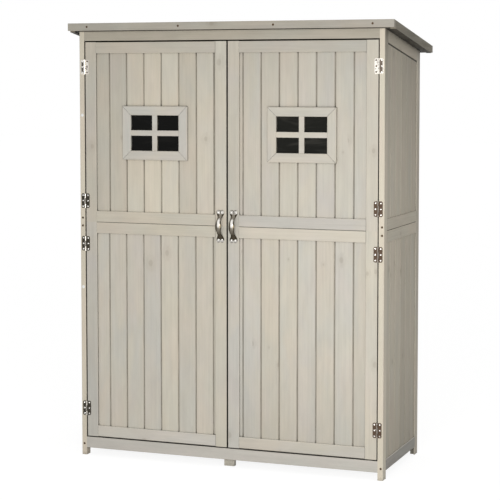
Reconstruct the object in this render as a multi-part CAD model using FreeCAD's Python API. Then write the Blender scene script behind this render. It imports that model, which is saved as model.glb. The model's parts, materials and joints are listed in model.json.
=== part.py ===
"""Two-door wooden garden storage cabinet with a roof that falls to the back.

Sizes are in millimetres. While it is built the cabinet stands in working axes: X from its middle
to the right, Y from the front face of the doors to the back, Z up from the ground. On writing,
every piece moves along Y so that the origin is under the middle of the whole object.
"""
import FreeCAD, Part

import math
import os

Vector = FreeCAD.Vector

# Body
OVERALL_HEIGHT = 1650.0      # top edge of the front fascia
BODY_WIDTH = 1200.0
BODY_DEPTH = 480.0
ROOF_BUILD_UP = 31.0         # from the walls' top at the front face to the top of the fascia
ROOF_SLOPE = 0.1545          # fall of the roof for each millimetre towards the back
JOINT_HEIGHT = 899.0         # where the upper panels stand on the lower ones
RAIL_UNDERSIDE = 28.0        # clear height under the lowest rails

# Framed panels: stiles and rails with a rebate at the back that holds the boards
FRAME_THICKNESS = 20.0
RAIL_HEIGHT = 42.0
DOOR_STILE = 44.0
SIDE_STILE = 40.0
DOOR_LIP = 7.5               # thickness of a door's frame in front of its boards
SIDE_LIP = 4.0               # the same for a side wall
REBATE_WIDTH = 10.0
REBATE_PLAY = 1.0            # room for the boards to swell at their edges
ARRIS = 1.5                  # small bevel along the edges of the frame members
RAIL_SHORT = 0.8             # how far the level rails stay inside the ends of the stiles

# Matched boards
BOARD_THICKNESS = 12.0
BOARD_PITCH = 70.8
BOARD_BEVEL = 3.0            # each board's share of the V between two boards
BOARD_GAP = 1.0              # open joint at the bottom of the V, down to the tongue
TONGUE_THICKNESS = 4.0
TONGUE_WIDTH = 5.0
TONGUE_PLAY = 0.4
SIDE_FIRST_JOINT = 92.0      # first V of a side wall, from the front face

# Doors
MEETING_GAP = 6.0            # between the two doors
HINGE_GAP = 4.2              # between a door and its post
POST_FACE = 20.0             # width of a side wall's edge beside a door
DOOR_FOOT_GAP = 4.4          # between the front bottom rail and the doors
DOOR_HEAD_GAP = 5.0          # between the doors and the header
HEADER_HEIGHT = 35.0
LEFT_LOWER_FIRST_JOINT = 94.0   # first V of a door's boards, from the door's left edge
LEFT_UPPER_FIRST_JOINT = 97.5
RIGHT_FIRST_JOINT = 57.1

# Windows
WINDOW_WIDTH = 194.5         # sight size between the casings
WINDOW_HEIGHT = 133.0
CASING_WIDTH = 34.0
CASING_THICKNESS = 12.0
CASING_BEVEL = 2.0
MITRE_GAP = 0.8
MUNTIN_WIDTH = 20.0
MUNTIN_THICKNESS = 9.0
PANE_THICKNESS = 3.0
PANE_EDGE = 8.0              # how far the pane runs behind the casing
PANE_PLAY = 1.0
BEAD_SIZE = 8.0

# Handles
HANDLE_HEIGHT = 120.0
HANDLE_INSET = 23.1          # from the meeting edge of a door to the handle's middle line
HANDLE_REACH = 27.0
HANDLE_WIDTH = 30.0          # across a foot, the widest place
HANDLE_SHEET = 2.2
HANDLE_CROWN = 2.6           # how far the pressed strip is rounded across its width
HANDLE_HOLE = 1.9            # radius
HANDLE_HOLE_SPACING = 15.0
HANDLE_HOLE_INSET = 10.0     # from the end of a foot to the middle of its holes
HANDLE_NOTCH_RADIUS = 5.0    # hollow between the two lobes at the end of a foot
HANDLE_NOTCH_DEPTH = 2.0
HANDLE_SIDES = 12            # corners of a hole or notch
HANDLE_ACROSS = (-1.0, -0.6, 0.0, 0.6, 1.0)  # corners across the strip, as shares of half its width
# From the end of a foot to the middle of the grip, as shares of half the height, of the
# reach beyond the foot, of the width and of the crown
HANDLE_BOW = (
    (1.00, 0.00, 0.70, 0.0),
    (0.95, 0.00, 0.93, 0.0),
    (0.87, 0.00, 1.00, 0.0),
    (0.77, 0.00, 0.97, 0.0),
    (0.70, 0.04, 0.84, 0.3),
    (0.64, 0.14, 0.66, 0.6),
    (0.57, 0.32, 0.53, 0.8),
    (0.49, 0.55, 0.49, 0.9),
    (0.40, 0.76, 0.52, 1.0),
    (0.28, 0.91, 0.60, 1.0),
    (0.14, 0.98, 0.68, 1.0),
    (0.00, 1.00, 0.70, 1.0),
)

# Hinges
HINGE_OVER_FOOT = 107.6      # from the door's lower edge to the middle of its lowest hinge
HINGE_UNDER_JOINT = 83.0     # from the joint of the panels to the hinges below and above it
HINGE_OVER_JOINT = 80.0
HINGE_UNDER_HEAD = 93.0      # from the door's upper edge to the middle of its highest hinge
HINGE_HEIGHT = 55.0
HINGE_LEAF_WIDTH = 16.5      # from the pin to the leaf's far edge
HINGE_SHEET = 1.3
HINGE_CORNER = 3.5
KNUCKLE_RADIUS = 3.2
KNUCKLE_GAP = 0.4            # between knuckles, and between a knuckle and what turns past it
KNUCKLE_SIDES = 12
KNUCKLE_SHARE = (0.0, 0.3, 0.7, 1.0)  # where the three knuckles end, along the hinge
PIN_RADIUS = 1.5
PIN_PLAY = 0.05

# Inside of the doors
CLAMP_BATTEN_HEIGHT = 70.0
CLAMP_BATTEN_THICKNESS = 15.0
CLAMP_BATTEN_END = 30.0      # bare door at each end of the batten that joins its two halves
STRIKE_WIDTH = 36.0
STRIKE_HEIGHT = 14.0
STRIKE_THICKNESS = 1.5
STRIKE_INSET = 45.0          # from the meeting edge to the middle of the strike
STRIKE_END = 15.0            # from a door's top or bottom edge to the middle of the strike
CATCH_WIDTH = 40.0
CATCH_DEPTH = 14.0
CATCH_AIR = 0.4              # between a catch and its strike

# Roof
ROOF_SIDE_OVERHANG = 38.0
FASCIA_THICKNESS = 20.0
FASCIA_HEIGHT = 28.0
VERGE_HEIGHT = 30.0
REAR_OVERHANG = 43.0         # roof behind the side walls, rear fascia included
REAR_FASCIA_HEIGHT = 25.0
DECK_THICKNESS = 15.0
DECK_PITCH = 100.0
DECK_FIRST_JOINT = 86.0
FELT_THICKNESS = 1.5
BEARER_HEIGHT = 35.0
BEARER_THICKNESS = 28.0

# Base, back and inside
CENTRE_FOOT_WIDTH = 40.0
CENTRE_FOOT_DEPTH = 18.0
FLOOR_THICKNESS = 15.0
FLOOR_PITCH = 88.0
FLOOR_BEARER_WIDTH = 30.0
BACK_RAIL_THICKNESS = 20.0
BACK_FIRST_JOINT = 49.0
INSIDE_FRONT = 40.0          # fittings inside keep this far back, clear of the closed doors
PARTITION_OFFSET = 0.0
FIRST_SHELF_TOP = 430.0
SHELF_UNDER_JOINT = 129.0    # from the joint of the panels to the tops of the next two shelves
SHELF_OVER_JOINT = 211.0
SHELF_THICKNESS = 16.0
SHELF_SLAT_GAP = 9.0
SHELF_BACK_GAP = 13.0        # behind the last slat
SHELF_SLATS = 4
CLEAT_SIZE = 20.0

# Places that follow from the sizes above
HALF_WIDTH = BODY_WIDTH / 2
INSIDE_HALF = HALF_WIDTH - FRAME_THICKNESS
WALL_BOARD_BACK = HALF_WIDTH - SIDE_LIP - BOARD_THICKNESS  # inner face of a side wall's boards
WALL_TOP = OVERALL_HEIGHT - ROOF_BUILD_UP
HEADER_UNDERSIDE = WALL_TOP - HEADER_HEIGHT
BASE_TOP = RAIL_UNDERSIDE + RAIL_HEIGHT
DOOR_BOTTOM = BASE_TOP + DOOR_FOOT_GAP
DOOR_TOP = HEADER_UNDERSIDE - DOOR_HEAD_GAP
DOOR_WIDTH = (BODY_WIDTH - 2 * POST_FACE - 2 * HINGE_GAP - MEETING_GAP) / 2
WINDOW_CENTRE = (JOINT_HEIGHT + DOOR_TOP) / 2
HINGE_HEIGHTS = (
    DOOR_BOTTOM + HINGE_OVER_FOOT,
    JOINT_HEIGHT - HINGE_UNDER_JOINT,
    JOINT_HEIGHT + HINGE_OVER_JOINT,
    DOOR_TOP - HINGE_UNDER_HEAD,
)
PIN_Y = -(KNUCKLE_RADIUS + KNUCKLE_GAP)
PIN_X = HALF_WIDTH - POST_FACE - HINGE_GAP / 2
BACK_FACE = BODY_DEPTH - BOARD_THICKNESS
BACK_RAIL_FRONT = BACK_FACE - BACK_RAIL_THICKNESS
SHELF_TOPS = (
    FIRST_SHELF_TOP,
    JOINT_HEIGHT - SHELF_UNDER_JOINT,
    JOINT_HEIGHT + SHELF_OVER_JOINT,
)
SHELF_DEPTH = BACK_RAIL_FRONT - SHELF_BACK_GAP - INSIDE_FRONT
SHELF_SLAT = (SHELF_DEPTH - (SHELF_SLATS - 1) * SHELF_SLAT_GAP) / SHELF_SLATS
ROOF_BACK = BODY_DEPTH + REAR_OVERHANG
ROOF_HALF = HALF_WIDTH + ROOF_SIDE_OVERHANG
FRONT_REACH = max(FASCIA_THICKNESS, HANDLE_REACH)
ORIGIN_Y = (ROOF_BACK - FRONT_REACH) / 2


def box(x0, x1, y0, y1, z0, z1):
    return Part.makeBox(x1 - x0, y1 - y0, z1 - z0, Vector(x0, y0, z0))


def prism(outline, along):
    """Solid swept along a vector from a closed outline of points in space."""
    points = [Vector(*point) for point in outline]
    wire = Part.makePolygon(points + [points[0]])
    return Part.Face(wire).extrude(Vector(*along))


def across(outline, x0, x1):
    """Solid between two places across the cabinet, from an outline of (y, z) points."""
    return prism([(x0, y, z) for y, z in outline], (x1 - x0, 0, 0))


def upright(outline, z0, z1):
    """Solid between two heights, from an outline of (x, y) points."""
    return prism([(x, y, z0) for x, y in outline], (0, 0, z1 - z0))


def moved(shapes, x=0.0, y=0.0, z=0.0):
    copies = [shape.copy() for shape in shapes]
    for shape in copies:
        shape.translate(Vector(x, y, z))
    return copies


def mirrored(shapes):
    """The same pieces on the other side of the cabinet."""
    return [shape.mirror(Vector(0, 0, 0), Vector(1, 0, 0)) for shape in shapes]


def wall_top(y):
    """Height of the sloping underside of the roof boards."""
    return WALL_TOP - ROOF_SLOPE * y


def under_roof(shapes, lower_by=0.0):
    """Cut pieces off along the slope of the roof, or along a line below it."""
    far = 2 * BODY_DEPTH
    low = -far
    outline = [
        (low, -far),
        (low, wall_top(low) - lower_by),
        (far, wall_top(far) - lower_by),
        (far, -far),
    ]
    keep = across(outline, -far, far)
    return [shape.common(keep) for shape in shapes]


# Matched boards

def board_outline(start, end, front, thickness, bevel, has_groove, has_tongue):
    """Section of a board from its left edge to its right edge, its face towards lower y."""
    back = front + thickness
    middle = front + thickness / 2
    tongue = TONGUE_THICKNESS / 2
    groove = tongue + TONGUE_PLAY / 2
    face_end = end - BOARD_GAP if has_tongue else end
    outline = [(start, back)]
    if has_groove:
        deep = start + TONGUE_WIDTH + TONGUE_PLAY
        outline += [(start, middle + groove), (deep, middle + groove)]
        outline += [(deep, middle - groove), (start, middle - groove)]
    outline += [(start, front + bevel), (start + bevel, front)]
    outline += [(face_end - bevel, front), (face_end, front + bevel)]
    if has_tongue:
        tip = end + TONGUE_WIDTH
        outline += [(face_end, middle - tongue), (tip, middle - tongue)]
        outline += [(tip, middle + tongue), (end, middle + tongue)]
    return outline + [(end, back)]


def board_edges(start, end, first_joint, pitch):
    """Places of the board edges from start to end, with a joint at first_joint."""
    edges = [start]
    joint = first_joint
    while joint < end - TONGUE_WIDTH:
        if joint > start + TONGUE_WIDTH:
            edges.append(joint)
        joint += pitch
    return edges + [end]


def matched_boards(edges, front, thickness, bevel, low, high):
    """Upright boards side by side, each tongue in the groove of the next board."""
    boards = []
    last = len(edges) - 2
    for index, (start, end) in enumerate(zip(edges, edges[1:])):
        outline = board_outline(start, end, front, thickness, bevel, index > 0, index < last)
        boards.append(upright(outline, low, high))
    return boards


# Framed panels

def stile(width, height, lip, inner_edge_right):
    """Upright frame member with its left edge at x = 0 and its face at y = 0."""
    web = width - REBATE_WIDTH
    outline = [
        (0, FRAME_THICKNESS),
        (0, ARRIS),
        (ARRIS, 0),
        (width - ARRIS, 0),
        (width, ARRIS),
        (width, lip),
        (web, lip),
        (web, FRAME_THICKNESS),
    ]
    if not inner_edge_right:
        outline = [(width - x, y) for x, y in outline]
    return upright(outline, 0, height)


def rail(start, end, low, high, lip, inner_edge_up):
    """Level frame member between two stiles, halved into their rebates at the back."""
    face = [
        (lip, low),
        (ARRIS, low),
        (0, low + ARRIS),
        (0, high - ARRIS),
        (ARRIS, high),
        (lip, high),
    ]
    web_low = low if inner_edge_up else low + REBATE_WIDTH
    web_high = high - REBATE_WIDTH if inner_edge_up else high
    web = box(start - REBATE_WIDTH, end + REBATE_WIDTH, lip, FRAME_THICKNESS, web_low, web_high)
    return across(face, start, end).fuse(web).removeSplitter()


def framed_panel(width, height, stile_width, lip, first_joint, leg=0.0):
    """Two stiles, two rails and boards, with the lower left corner at the origin."""
    inner = stile_width
    far = width - stile_width
    stiles = [stile(stile_width, height + leg, lip, True)]
    stiles += moved([stile(stile_width, height + leg, lip, False)], x=far)
    rails = [
        rail(inner, far, RAIL_SHORT, RAIL_HEIGHT, lip, True),
        rail(inner, far, height - RAIL_HEIGHT, height - RAIL_SHORT, lip, False),
    ]
    hidden = REBATE_WIDTH - REBATE_PLAY
    edges = board_edges(inner - hidden, far + hidden, first_joint, BOARD_PITCH)
    low = RAIL_HEIGHT - hidden
    boards = matched_boards(edges, lip, BOARD_THICKNESS, BOARD_BEVEL, low, height - low)
    return {"stiles": moved(stiles, z=-leg), "rails": rails, "boards": boards}


def place_panel(panel, x=0.0, y=0.0, z=0.0):
    return {part: moved(shapes, x, y, z) for part, shapes in panel.items()}


# Side walls

def to_right_wall(shapes):
    """Turn a panel built facing forwards so that it faces right, at the right wall."""
    turned = [shape.copy() for shape in shapes]
    for shape in turned:
        shape.rotate(Vector(0, 0, 0), Vector(0, 0, 1), 90)
    return moved(turned, x=HALF_WIDTH)


def lower_side_panel():
    height = JOINT_HEIGHT - RAIL_UNDERSIDE
    leg = RAIL_UNDERSIDE
    panel = framed_panel(BODY_DEPTH, height, SIDE_STILE, SIDE_LIP, SIDE_FIRST_JOINT, leg)
    return place_panel(panel, z=RAIL_UNDERSIDE)


def sloping_rail():
    """Top rail of a side wall, parallel to the roof, halved like the level rails."""
    start = SIDE_STILE
    end = BODY_DEPTH - SIDE_STILE

    def slab(x0, x1, height, y0, y1):
        outline = [
            (x0, y0, wall_top(x0)),
            (x1, y0, wall_top(x1)),
            (x1, y0, wall_top(x1) - height),
            (x0, y0, wall_top(x0) - height),
        ]
        return prism(outline, (0, y1 - y0, 0))

    face = slab(start, end, RAIL_HEIGHT, 0, SIDE_LIP)
    web_height = RAIL_HEIGHT - REBATE_WIDTH
    web = slab(start - REBATE_WIDTH, end + REBATE_WIDTH, web_height, SIDE_LIP, FRAME_THICKNESS)
    return face.fuse(web).removeSplitter()


def upper_side_panel():
    """Built over-tall, then the tops of the stiles and boards are cut to the roof."""
    height = WALL_TOP - JOINT_HEIGHT
    panel = framed_panel(BODY_DEPTH, height, SIDE_STILE, SIDE_LIP, SIDE_FIRST_JOINT)
    panel = place_panel(panel, z=JOINT_HEIGHT)
    board_cover = RAIL_HEIGHT - REBATE_WIDTH + REBATE_PLAY
    return {
        "stiles": slope_cut_wall(panel["stiles"]),
        "rails": [panel["rails"][0], sloping_rail()],
        "boards": slope_cut_wall(panel["boards"], board_cover),
    }


def slope_cut_wall(shapes, lower_by=0.0):
    """Cut pieces of a panel that still faces forwards: there, x runs towards the back."""
    far = 2 * BODY_DEPTH
    outline = [
        (-far, -far),
        (far, -far),
        (far, wall_top(far) - lower_by),
        (-far, wall_top(-far) - lower_by),
    ]
    keep = prism([(x, -far, z) for x, z in outline], (0, 2 * far, 0))
    return [shape.common(keep) for shape in shapes]


def side_walls():
    nodes = {}
    for level, panel in (("lower", lower_side_panel()), ("upper", upper_side_panel())):
        for part, shapes in panel.items():
            right = to_right_wall(shapes)
            nodes[f"right_side_{level}_{part}"] = right
            nodes[f"left_side_{level}_{part}"] = mirrored(right)
    return nodes


# Front, base and back

def header():
    outline = [
        (0, HEADER_UNDERSIDE + ARRIS),
        (0, wall_top(0)),
        (FRAME_THICKNESS, wall_top(FRAME_THICKNESS)),
        (FRAME_THICKNESS, HEADER_UNDERSIDE),
        (ARRIS, HEADER_UNDERSIDE),
    ]
    return [across(outline, -INSIDE_HALF, INSIDE_HALF)]


def front_bottom_rail():
    outline = [
        (FRAME_THICKNESS, RAIL_UNDERSIDE),
        (ARRIS, RAIL_UNDERSIDE),
        (0, RAIL_UNDERSIDE + ARRIS),
        (0, BASE_TOP - ARRIS),
        (ARRIS, BASE_TOP),
        (FRAME_THICKNESS, BASE_TOP),
    ]
    return [across(outline, -INSIDE_HALF, INSIDE_HALF)]


def centre_feet():
    """Short legs behind the front bottom rail and in front of the back one."""
    half = CENTRE_FOOT_WIDTH / 2
    top = BASE_TOP - FLOOR_THICKNESS
    front = box(-half, half, FRAME_THICKNESS, FRAME_THICKNESS + CENTRE_FOOT_DEPTH, 0, top)
    back = box(-half, half, BACK_RAIL_FRONT - CENTRE_FOOT_DEPTH, BACK_RAIL_FRONT, 0, top)
    return [front, back]


def floor_bearers():
    """Three bearers from front to back, the middle one between the centre feet."""
    low = RAIL_UNDERSIDE
    high = BASE_TOP - FLOOR_THICKNESS
    wide = FLOOR_BEARER_WIDTH
    edge = INSIDE_HALF - wide
    foot = CENTRE_FOOT_DEPTH
    left = box(-INSIDE_HALF, -edge, FRAME_THICKNESS, BACK_RAIL_FRONT, low, high)
    right = box(edge, INSIDE_HALF, FRAME_THICKNESS, BACK_RAIL_FRONT, low, high)
    middle = box(-wide / 2, wide / 2, FRAME_THICKNESS + foot, BACK_RAIL_FRONT - foot, low, high)
    return [left, middle, right]


def floor_boards():
    """Boards along the cabinet, built upright and laid down with their faces up."""
    edges = board_edges(FRAME_THICKNESS, BACK_RAIL_FRONT, FRAME_THICKNESS + FLOOR_PITCH, FLOOR_PITCH)
    boards = matched_boards(edges, 0, FLOOR_THICKNESS, ARRIS, -INSIDE_HALF, INSIDE_HALF)
    return laid(boards, BASE_TOP)


def laid(boards, top):
    """Turn boards whose length is along Z so that it is along X and their faces are up."""
    turned = []
    for board in boards:
        flat = board.copy()
        matrix = FreeCAD.Matrix(0, 0, 1, 0, 1, 0, 0, 0, 0, -1, 0, top)
        turned.append(flat.transformGeometry(matrix))
    return turned


def back_rails():
    """Level rails between the side walls that carry the boards of the back."""
    tops = (BASE_TOP, JOINT_HEIGHT + RAIL_HEIGHT / 2, wall_top(BACK_FACE))
    rails = [
        box(-INSIDE_HALF, INSIDE_HALF, BACK_RAIL_FRONT, BACK_FACE, top - RAIL_HEIGHT, top)
        for top in tops
    ]
    return under_roof(rails)


def back_boards():
    """Upright boards on the back rails, their bevelled faces to the outside."""
    edges = board_edges(-INSIDE_HALF, INSIDE_HALF, -INSIDE_HALF + BACK_FIRST_JOINT, BOARD_PITCH)
    boards = matched_boards(edges, 0, BOARD_THICKNESS, BOARD_BEVEL, RAIL_UNDERSIDE, WALL_TOP)
    turned = []
    for board in boards:
        board.rotate(Vector(0, 0, 0), Vector(0, 0, 1), 180)
        turned.append(board)
    return under_roof(moved(turned, y=BODY_DEPTH))


# Inside fittings

def partition_boards():
    """Upright boards from front to back that divide the inside into two bays."""
    edges = board_edges(INSIDE_FRONT, BACK_RAIL_FRONT, INSIDE_FRONT + BOARD_PITCH, BOARD_PITCH)
    boards = matched_boards(edges, 0, BOARD_THICKNESS, ARRIS, BASE_TOP, WALL_TOP)
    turned = []
    for board in boards:
        board.rotate(Vector(0, 0, 0), Vector(0, 0, 1), 90)
        turned.append(board)
    placed = moved(turned, x=PARTITION_OFFSET + BOARD_THICKNESS / 2)
    return under_roof(placed, BEARER_HEIGHT + ROOF_SLOPE * BEARER_THICKNESS)


def partition_rails():
    """Level battens across the boards of the partition, in the right-hand bay."""
    x0 = PARTITION_OFFSET + BOARD_THICKNESS / 2
    x1 = x0 + CLEAT_SIZE
    highest = bearer_underside(BACK_RAIL_FRONT - BEARER_THICKNESS) - RAIL_HEIGHT
    lows = (BASE_TOP, JOINT_HEIGHT - RAIL_HEIGHT, highest)
    return [box(x0, x1, INSIDE_FRONT, BACK_RAIL_FRONT, low, low + RAIL_HEIGHT) for low in lows]


def shelf_boards():
    """Slats of the shelves in the left-hand bay."""
    x0 = -WALL_BOARD_BACK
    x1 = PARTITION_OFFSET - BOARD_THICKNESS / 2
    slats = []
    for top in SHELF_TOPS:
        for index in range(SHELF_SLATS):
            y0 = INSIDE_FRONT + index * (SHELF_SLAT + SHELF_SLAT_GAP)
            slats.append(box(x0, x1, y0, y0 + SHELF_SLAT, top - SHELF_THICKNESS, top))
    return slats


def shelf_cleats():
    """Battens on the left wall and on the partition that carry the slats."""
    partition = PARTITION_OFFSET - BOARD_THICKNESS / 2
    cleats = []
    for top in SHELF_TOPS:
        high = top - SHELF_THICKNESS
        low = high - CLEAT_SIZE
        for x in (-WALL_BOARD_BACK, partition - CLEAT_SIZE):
            cleats.append(box(x, x + CLEAT_SIZE, INSIDE_FRONT, BACK_RAIL_FRONT, low, high))
    return cleats


# Roof

def roof_line(y):
    """Height of the top edge of the verge boards."""
    return OVERALL_HEIGHT - ROOF_SLOPE * (y + FASCIA_THICKNESS)


def front_fascia():
    top = OVERALL_HEIGHT
    low = top - FASCIA_HEIGHT
    outline = [
        (0, low),
        (ARRIS - FASCIA_THICKNESS, low),
        (-FASCIA_THICKNESS, low + ARRIS),
        (-FASCIA_THICKNESS, top - ARRIS),
        (ARRIS - FASCIA_THICKNESS, top),
        (0, roof_line(0)),
    ]
    return [across(outline, -ROOF_HALF, ROOF_HALF)]


def rear_fascia():
    front = ROOF_BACK - FASCIA_THICKNESS
    low = roof_line(ROOF_BACK) - REAR_FASCIA_HEIGHT
    outline = [
        (front, low),
        (front, roof_line(front)),
        (ROOF_BACK, roof_line(ROOF_BACK)),
        (ROOF_BACK, low),
    ]
    return [across(outline, -ROOF_HALF, ROOF_HALF)]


def verge_boards():
    """Sloping boards at the two ends of the roof, between the fascias."""
    back = ROOF_BACK - FASCIA_THICKNESS
    outline = [
        (0, roof_line(0)),
        (back, roof_line(back)),
        (back, roof_line(back) - VERGE_HEIGHT),
        (0, roof_line(0) - VERGE_HEIGHT),
    ]
    right = across(outline, ROOF_HALF - FASCIA_THICKNESS, ROOF_HALF)
    return mirrored([right]) + [right]


def roof_slab(low, high, y0, y1, half):
    """Part of the sloping roof between two distances above the walls."""
    outline = [
        (y0, wall_top(y0) + low),
        (y0, wall_top(y0) + high),
        (y1, wall_top(y1) + high),
        (y1, wall_top(y1) + low),
    ]
    return across(outline, -half, half)


def roof_boards():
    """Boards along the roof, built flat, tilted to its slope and trimmed plumb at the ends."""
    back = ROOF_BACK - FASCIA_THICKNESS
    half = ROOF_HALF - FASCIA_THICKNESS
    edges = board_edges(-DECK_PITCH / 2, back + DECK_PITCH, DECK_FIRST_JOINT, DECK_PITCH)
    flat = laid(matched_boards(edges, 0, DECK_THICKNESS, ARRIS, -half, half), DECK_THICKNESS)
    trim = box(-half, half, 0, back, 0, 2 * WALL_TOP)
    boards = []
    for board in flat:
        board.rotate(Vector(0, 0, 0), Vector(1, 0, 0), -math.degrees(math.atan(ROOF_SLOPE)))
        board.translate(Vector(0, 0, wall_top(0)))
        boards.append(board.common(trim))
    return boards


def roofing_felt():
    back = ROOF_BACK - FASCIA_THICKNESS
    deck = DECK_THICKNESS / math.cos(math.atan(ROOF_SLOPE))
    return [roof_slab(deck, deck + FELT_THICKNESS, 0, back, ROOF_HALF - FASCIA_THICKNESS)]


def bearer_underside(front):
    return wall_top(front + BEARER_THICKNESS) - BEARER_HEIGHT


def roof_bearers():
    """Two battens under the roof boards, their tops planed to the slope."""
    bearers = []
    for y0 in (FRAME_THICKNESS, BACK_RAIL_FRONT - BEARER_THICKNESS):
        y1 = y0 + BEARER_THICKNESS
        low = bearer_underside(y0)
        outline = [(y0, wall_top(y0)), (y1, wall_top(y1)), (y1, low), (y0, low)]
        bearers.append(across(outline, -INSIDE_HALF, INSIDE_HALF))
    return bearers


# Doors

def door_left_edge(side):
    if side == "left":
        return -HALF_WIDTH + POST_FACE + HINGE_GAP
    return MEETING_GAP / 2


def door_middle(side):
    return door_left_edge(side) + DOOR_WIDTH / 2


def meeting_place(side, inset):
    """A place at a distance from the edge where the two doors meet."""
    place = MEETING_GAP / 2 + inset
    return -place if side == "left" else place


def window_hole(side, margin, y0, y1):
    half_w = WINDOW_WIDTH / 2 + margin
    half_h = WINDOW_HEIGHT / 2 + margin
    x = door_middle(side)
    return box(x - half_w, x + half_w, y0, y1, WINDOW_CENTRE - half_h, WINDOW_CENTRE + half_h)


def first_board_joint(side, level):
    if side == "right":
        return RIGHT_FIRST_JOINT
    return LEFT_LOWER_FIRST_JOINT if level == "lower" else LEFT_UPPER_FIRST_JOINT


def door_panels(side):
    """Upper and lower framed panels of a door; the upper boards have the window's hole."""
    nodes = {}
    levels = {"lower": (DOOR_BOTTOM, JOINT_HEIGHT), "upper": (JOINT_HEIGHT, DOOR_TOP)}
    for level, (low, high) in levels.items():
        first_joint = first_board_joint(side, level)
        panel = framed_panel(DOOR_WIDTH, high - low, DOOR_STILE, DOOR_LIP, first_joint)
        panel = place_panel(panel, x=door_left_edge(side), z=low)
        if level == "upper":
            hole = window_hole(side, PANE_EDGE, 0, FRAME_THICKNESS)
            panel["boards"] = [board.cut(hole) for board in panel["boards"]]
        for part, shapes in panel.items():
            nodes[f"{side}_door_{level}_{part}"] = shapes
    return nodes


def mitred_bar(inner, thickness, bevel):
    """Bar with mitred ends, its inner edge at z = 0 and its face towards lower y."""
    outer = inner + CASING_WIDTH
    section = [
        (0, 0),
        (bevel - thickness, 0),
        (-thickness, bevel),
        (-thickness, CASING_WIDTH - bevel),
        (bevel - thickness, CASING_WIDTH),
        (0, CASING_WIDTH),
    ]
    bar = across(section, -outer, outer)
    short = MITRE_GAP / math.sqrt(2)
    outline = [(inner - short, 0), (outer - short, CASING_WIDTH), (outer, CASING_WIDTH), (outer, 0)]
    mitre = prism([(x, -thickness, z) for x, z in outline], (0, thickness, 0))
    return bar.cut(mitre).cut(mirrored([mitre])[0])


def window_casing(side):
    """Four mitred bars planted on the boards around the window."""
    halves = (WINDOW_WIDTH / 2, WINDOW_HEIGHT / 2)
    bars = []
    for turn in range(4):
        along = halves[turn % 2]
        reach = halves[1 - turn % 2]
        bar = mitred_bar(along, CASING_THICKNESS, CASING_BEVEL)
        bar.translate(Vector(0, 0, reach))
        bar.rotate(Vector(0, 0, 0), Vector(0, 1, 0), 90 * turn)
        bars.append(bar)
    return moved(bars, x=door_middle(side), y=DOOR_LIP, z=WINDOW_CENTRE)


def window_muntins(side):
    """Upright and level bars in front of the pane, halved where they cross."""
    half_w = WINDOW_WIDTH / 2
    half_h = WINDOW_HEIGHT / 2
    half = MUNTIN_WIDTH / 2
    lap = MUNTIN_THICKNESS / 2
    upright_bar = box(-half, half, -MUNTIN_THICKNESS, 0, -half_h, half_h)
    level_bar = box(-half_w, half_w, -MUNTIN_THICKNESS, 0, -half, half)
    upright_bar = upright_bar.cut(box(-half, half, -lap, 0, -half, half))
    level_bar = level_bar.cut(box(-half, half, -MUNTIN_THICKNESS, -lap, -half, half))
    return moved([upright_bar, level_bar], x=door_middle(side), y=DOOR_LIP, z=WINDOW_CENTRE)


def window_pane(side):
    return [window_hole(side, PANE_EDGE - PANE_PLAY, DOOR_LIP, DOOR_LIP + PANE_THICKNESS)]


def window_beads(side):
    """Four beads behind the pane, inside the hole in the boards."""
    front = DOOR_LIP + PANE_THICKNESS
    back = DOOR_LIP + BOARD_THICKNESS
    outer = window_hole(side, PANE_EDGE, front, back)
    bound = outer.BoundBox
    x0, x1, z0, z1 = bound.XMin, bound.XMax, bound.ZMin, bound.ZMax
    size = BEAD_SIZE
    return [
        box(x0, x1, front, back, z0, z0 + size),
        box(x0, x1, front, back, z1 - size, z1),
        box(x0, x0 + size, front, back, z0 + size, z1 - size),
        box(x1 - size, x1, front, back, z0 + size, z1 - size),
    ]


def clamp_batten(side):
    """Batten inside a door that joins its upper and lower panels."""
    x0 = door_left_edge(side) + CLAMP_BATTEN_END
    x1 = x0 + DOOR_WIDTH - 2 * CLAMP_BATTEN_END
    half = CLAMP_BATTEN_HEIGHT / 2
    y1 = FRAME_THICKNESS + CLAMP_BATTEN_THICKNESS
    return [box(x0, x1, FRAME_THICKNESS, y1, JOINT_HEIGHT - half, JOINT_HEIGHT + half)]


def strikes(side):
    """Steel plates on the back of a door that the catches hold."""
    x = meeting_place(side, STRIKE_INSET)
    half_w = STRIKE_WIDTH / 2
    half_h = STRIKE_HEIGHT / 2
    y1 = FRAME_THICKNESS + STRIKE_THICKNESS
    heights = (DOOR_BOTTOM + STRIKE_END, DOOR_TOP - STRIKE_END)
    return [box(x - half_w, x + half_w, FRAME_THICKNESS, y1, z - half_h, z + half_h) for z in heights]


def catches():
    """Magnetic catches under the front roof bearer and on the floor, two for each door."""
    face = FRAME_THICKNESS + STRIKE_THICKNESS + CATCH_AIR
    back = face + CATCH_DEPTH
    half = CATCH_WIDTH / 2
    reach = STRIKE_END + STRIKE_HEIGHT / 2
    shapes = []
    for side in ("left", "right"):
        x = meeting_place(side, STRIKE_INSET)
        under_bearer = bearer_underside(FRAME_THICKNESS)
        shapes.append(box(x - half, x + half, face, back, DOOR_TOP - reach, under_bearer))
        shapes.append(box(x - half, x + half, face, back, BASE_TOP, DOOR_BOTTOM + reach))
    return shapes


# Handles

def handle_stations():
    """Places along the bow from top to bottom, as (height, reach, width, crown)."""
    half = HANDLE_HEIGHT / 2
    rise = HANDLE_REACH - HANDLE_SHEET
    upper = []
    for up, out, wide, round_share in HANDLE_BOW:
        reach = HANDLE_SHEET + rise * out
        upper.append((half * up, reach, HANDLE_WIDTH * wide, HANDLE_CROWN * round_share))
    lower = [(-height, reach, width, crown) for height, reach, width, crown in upper[:-1]]
    return upper + lower[::-1]


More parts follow.
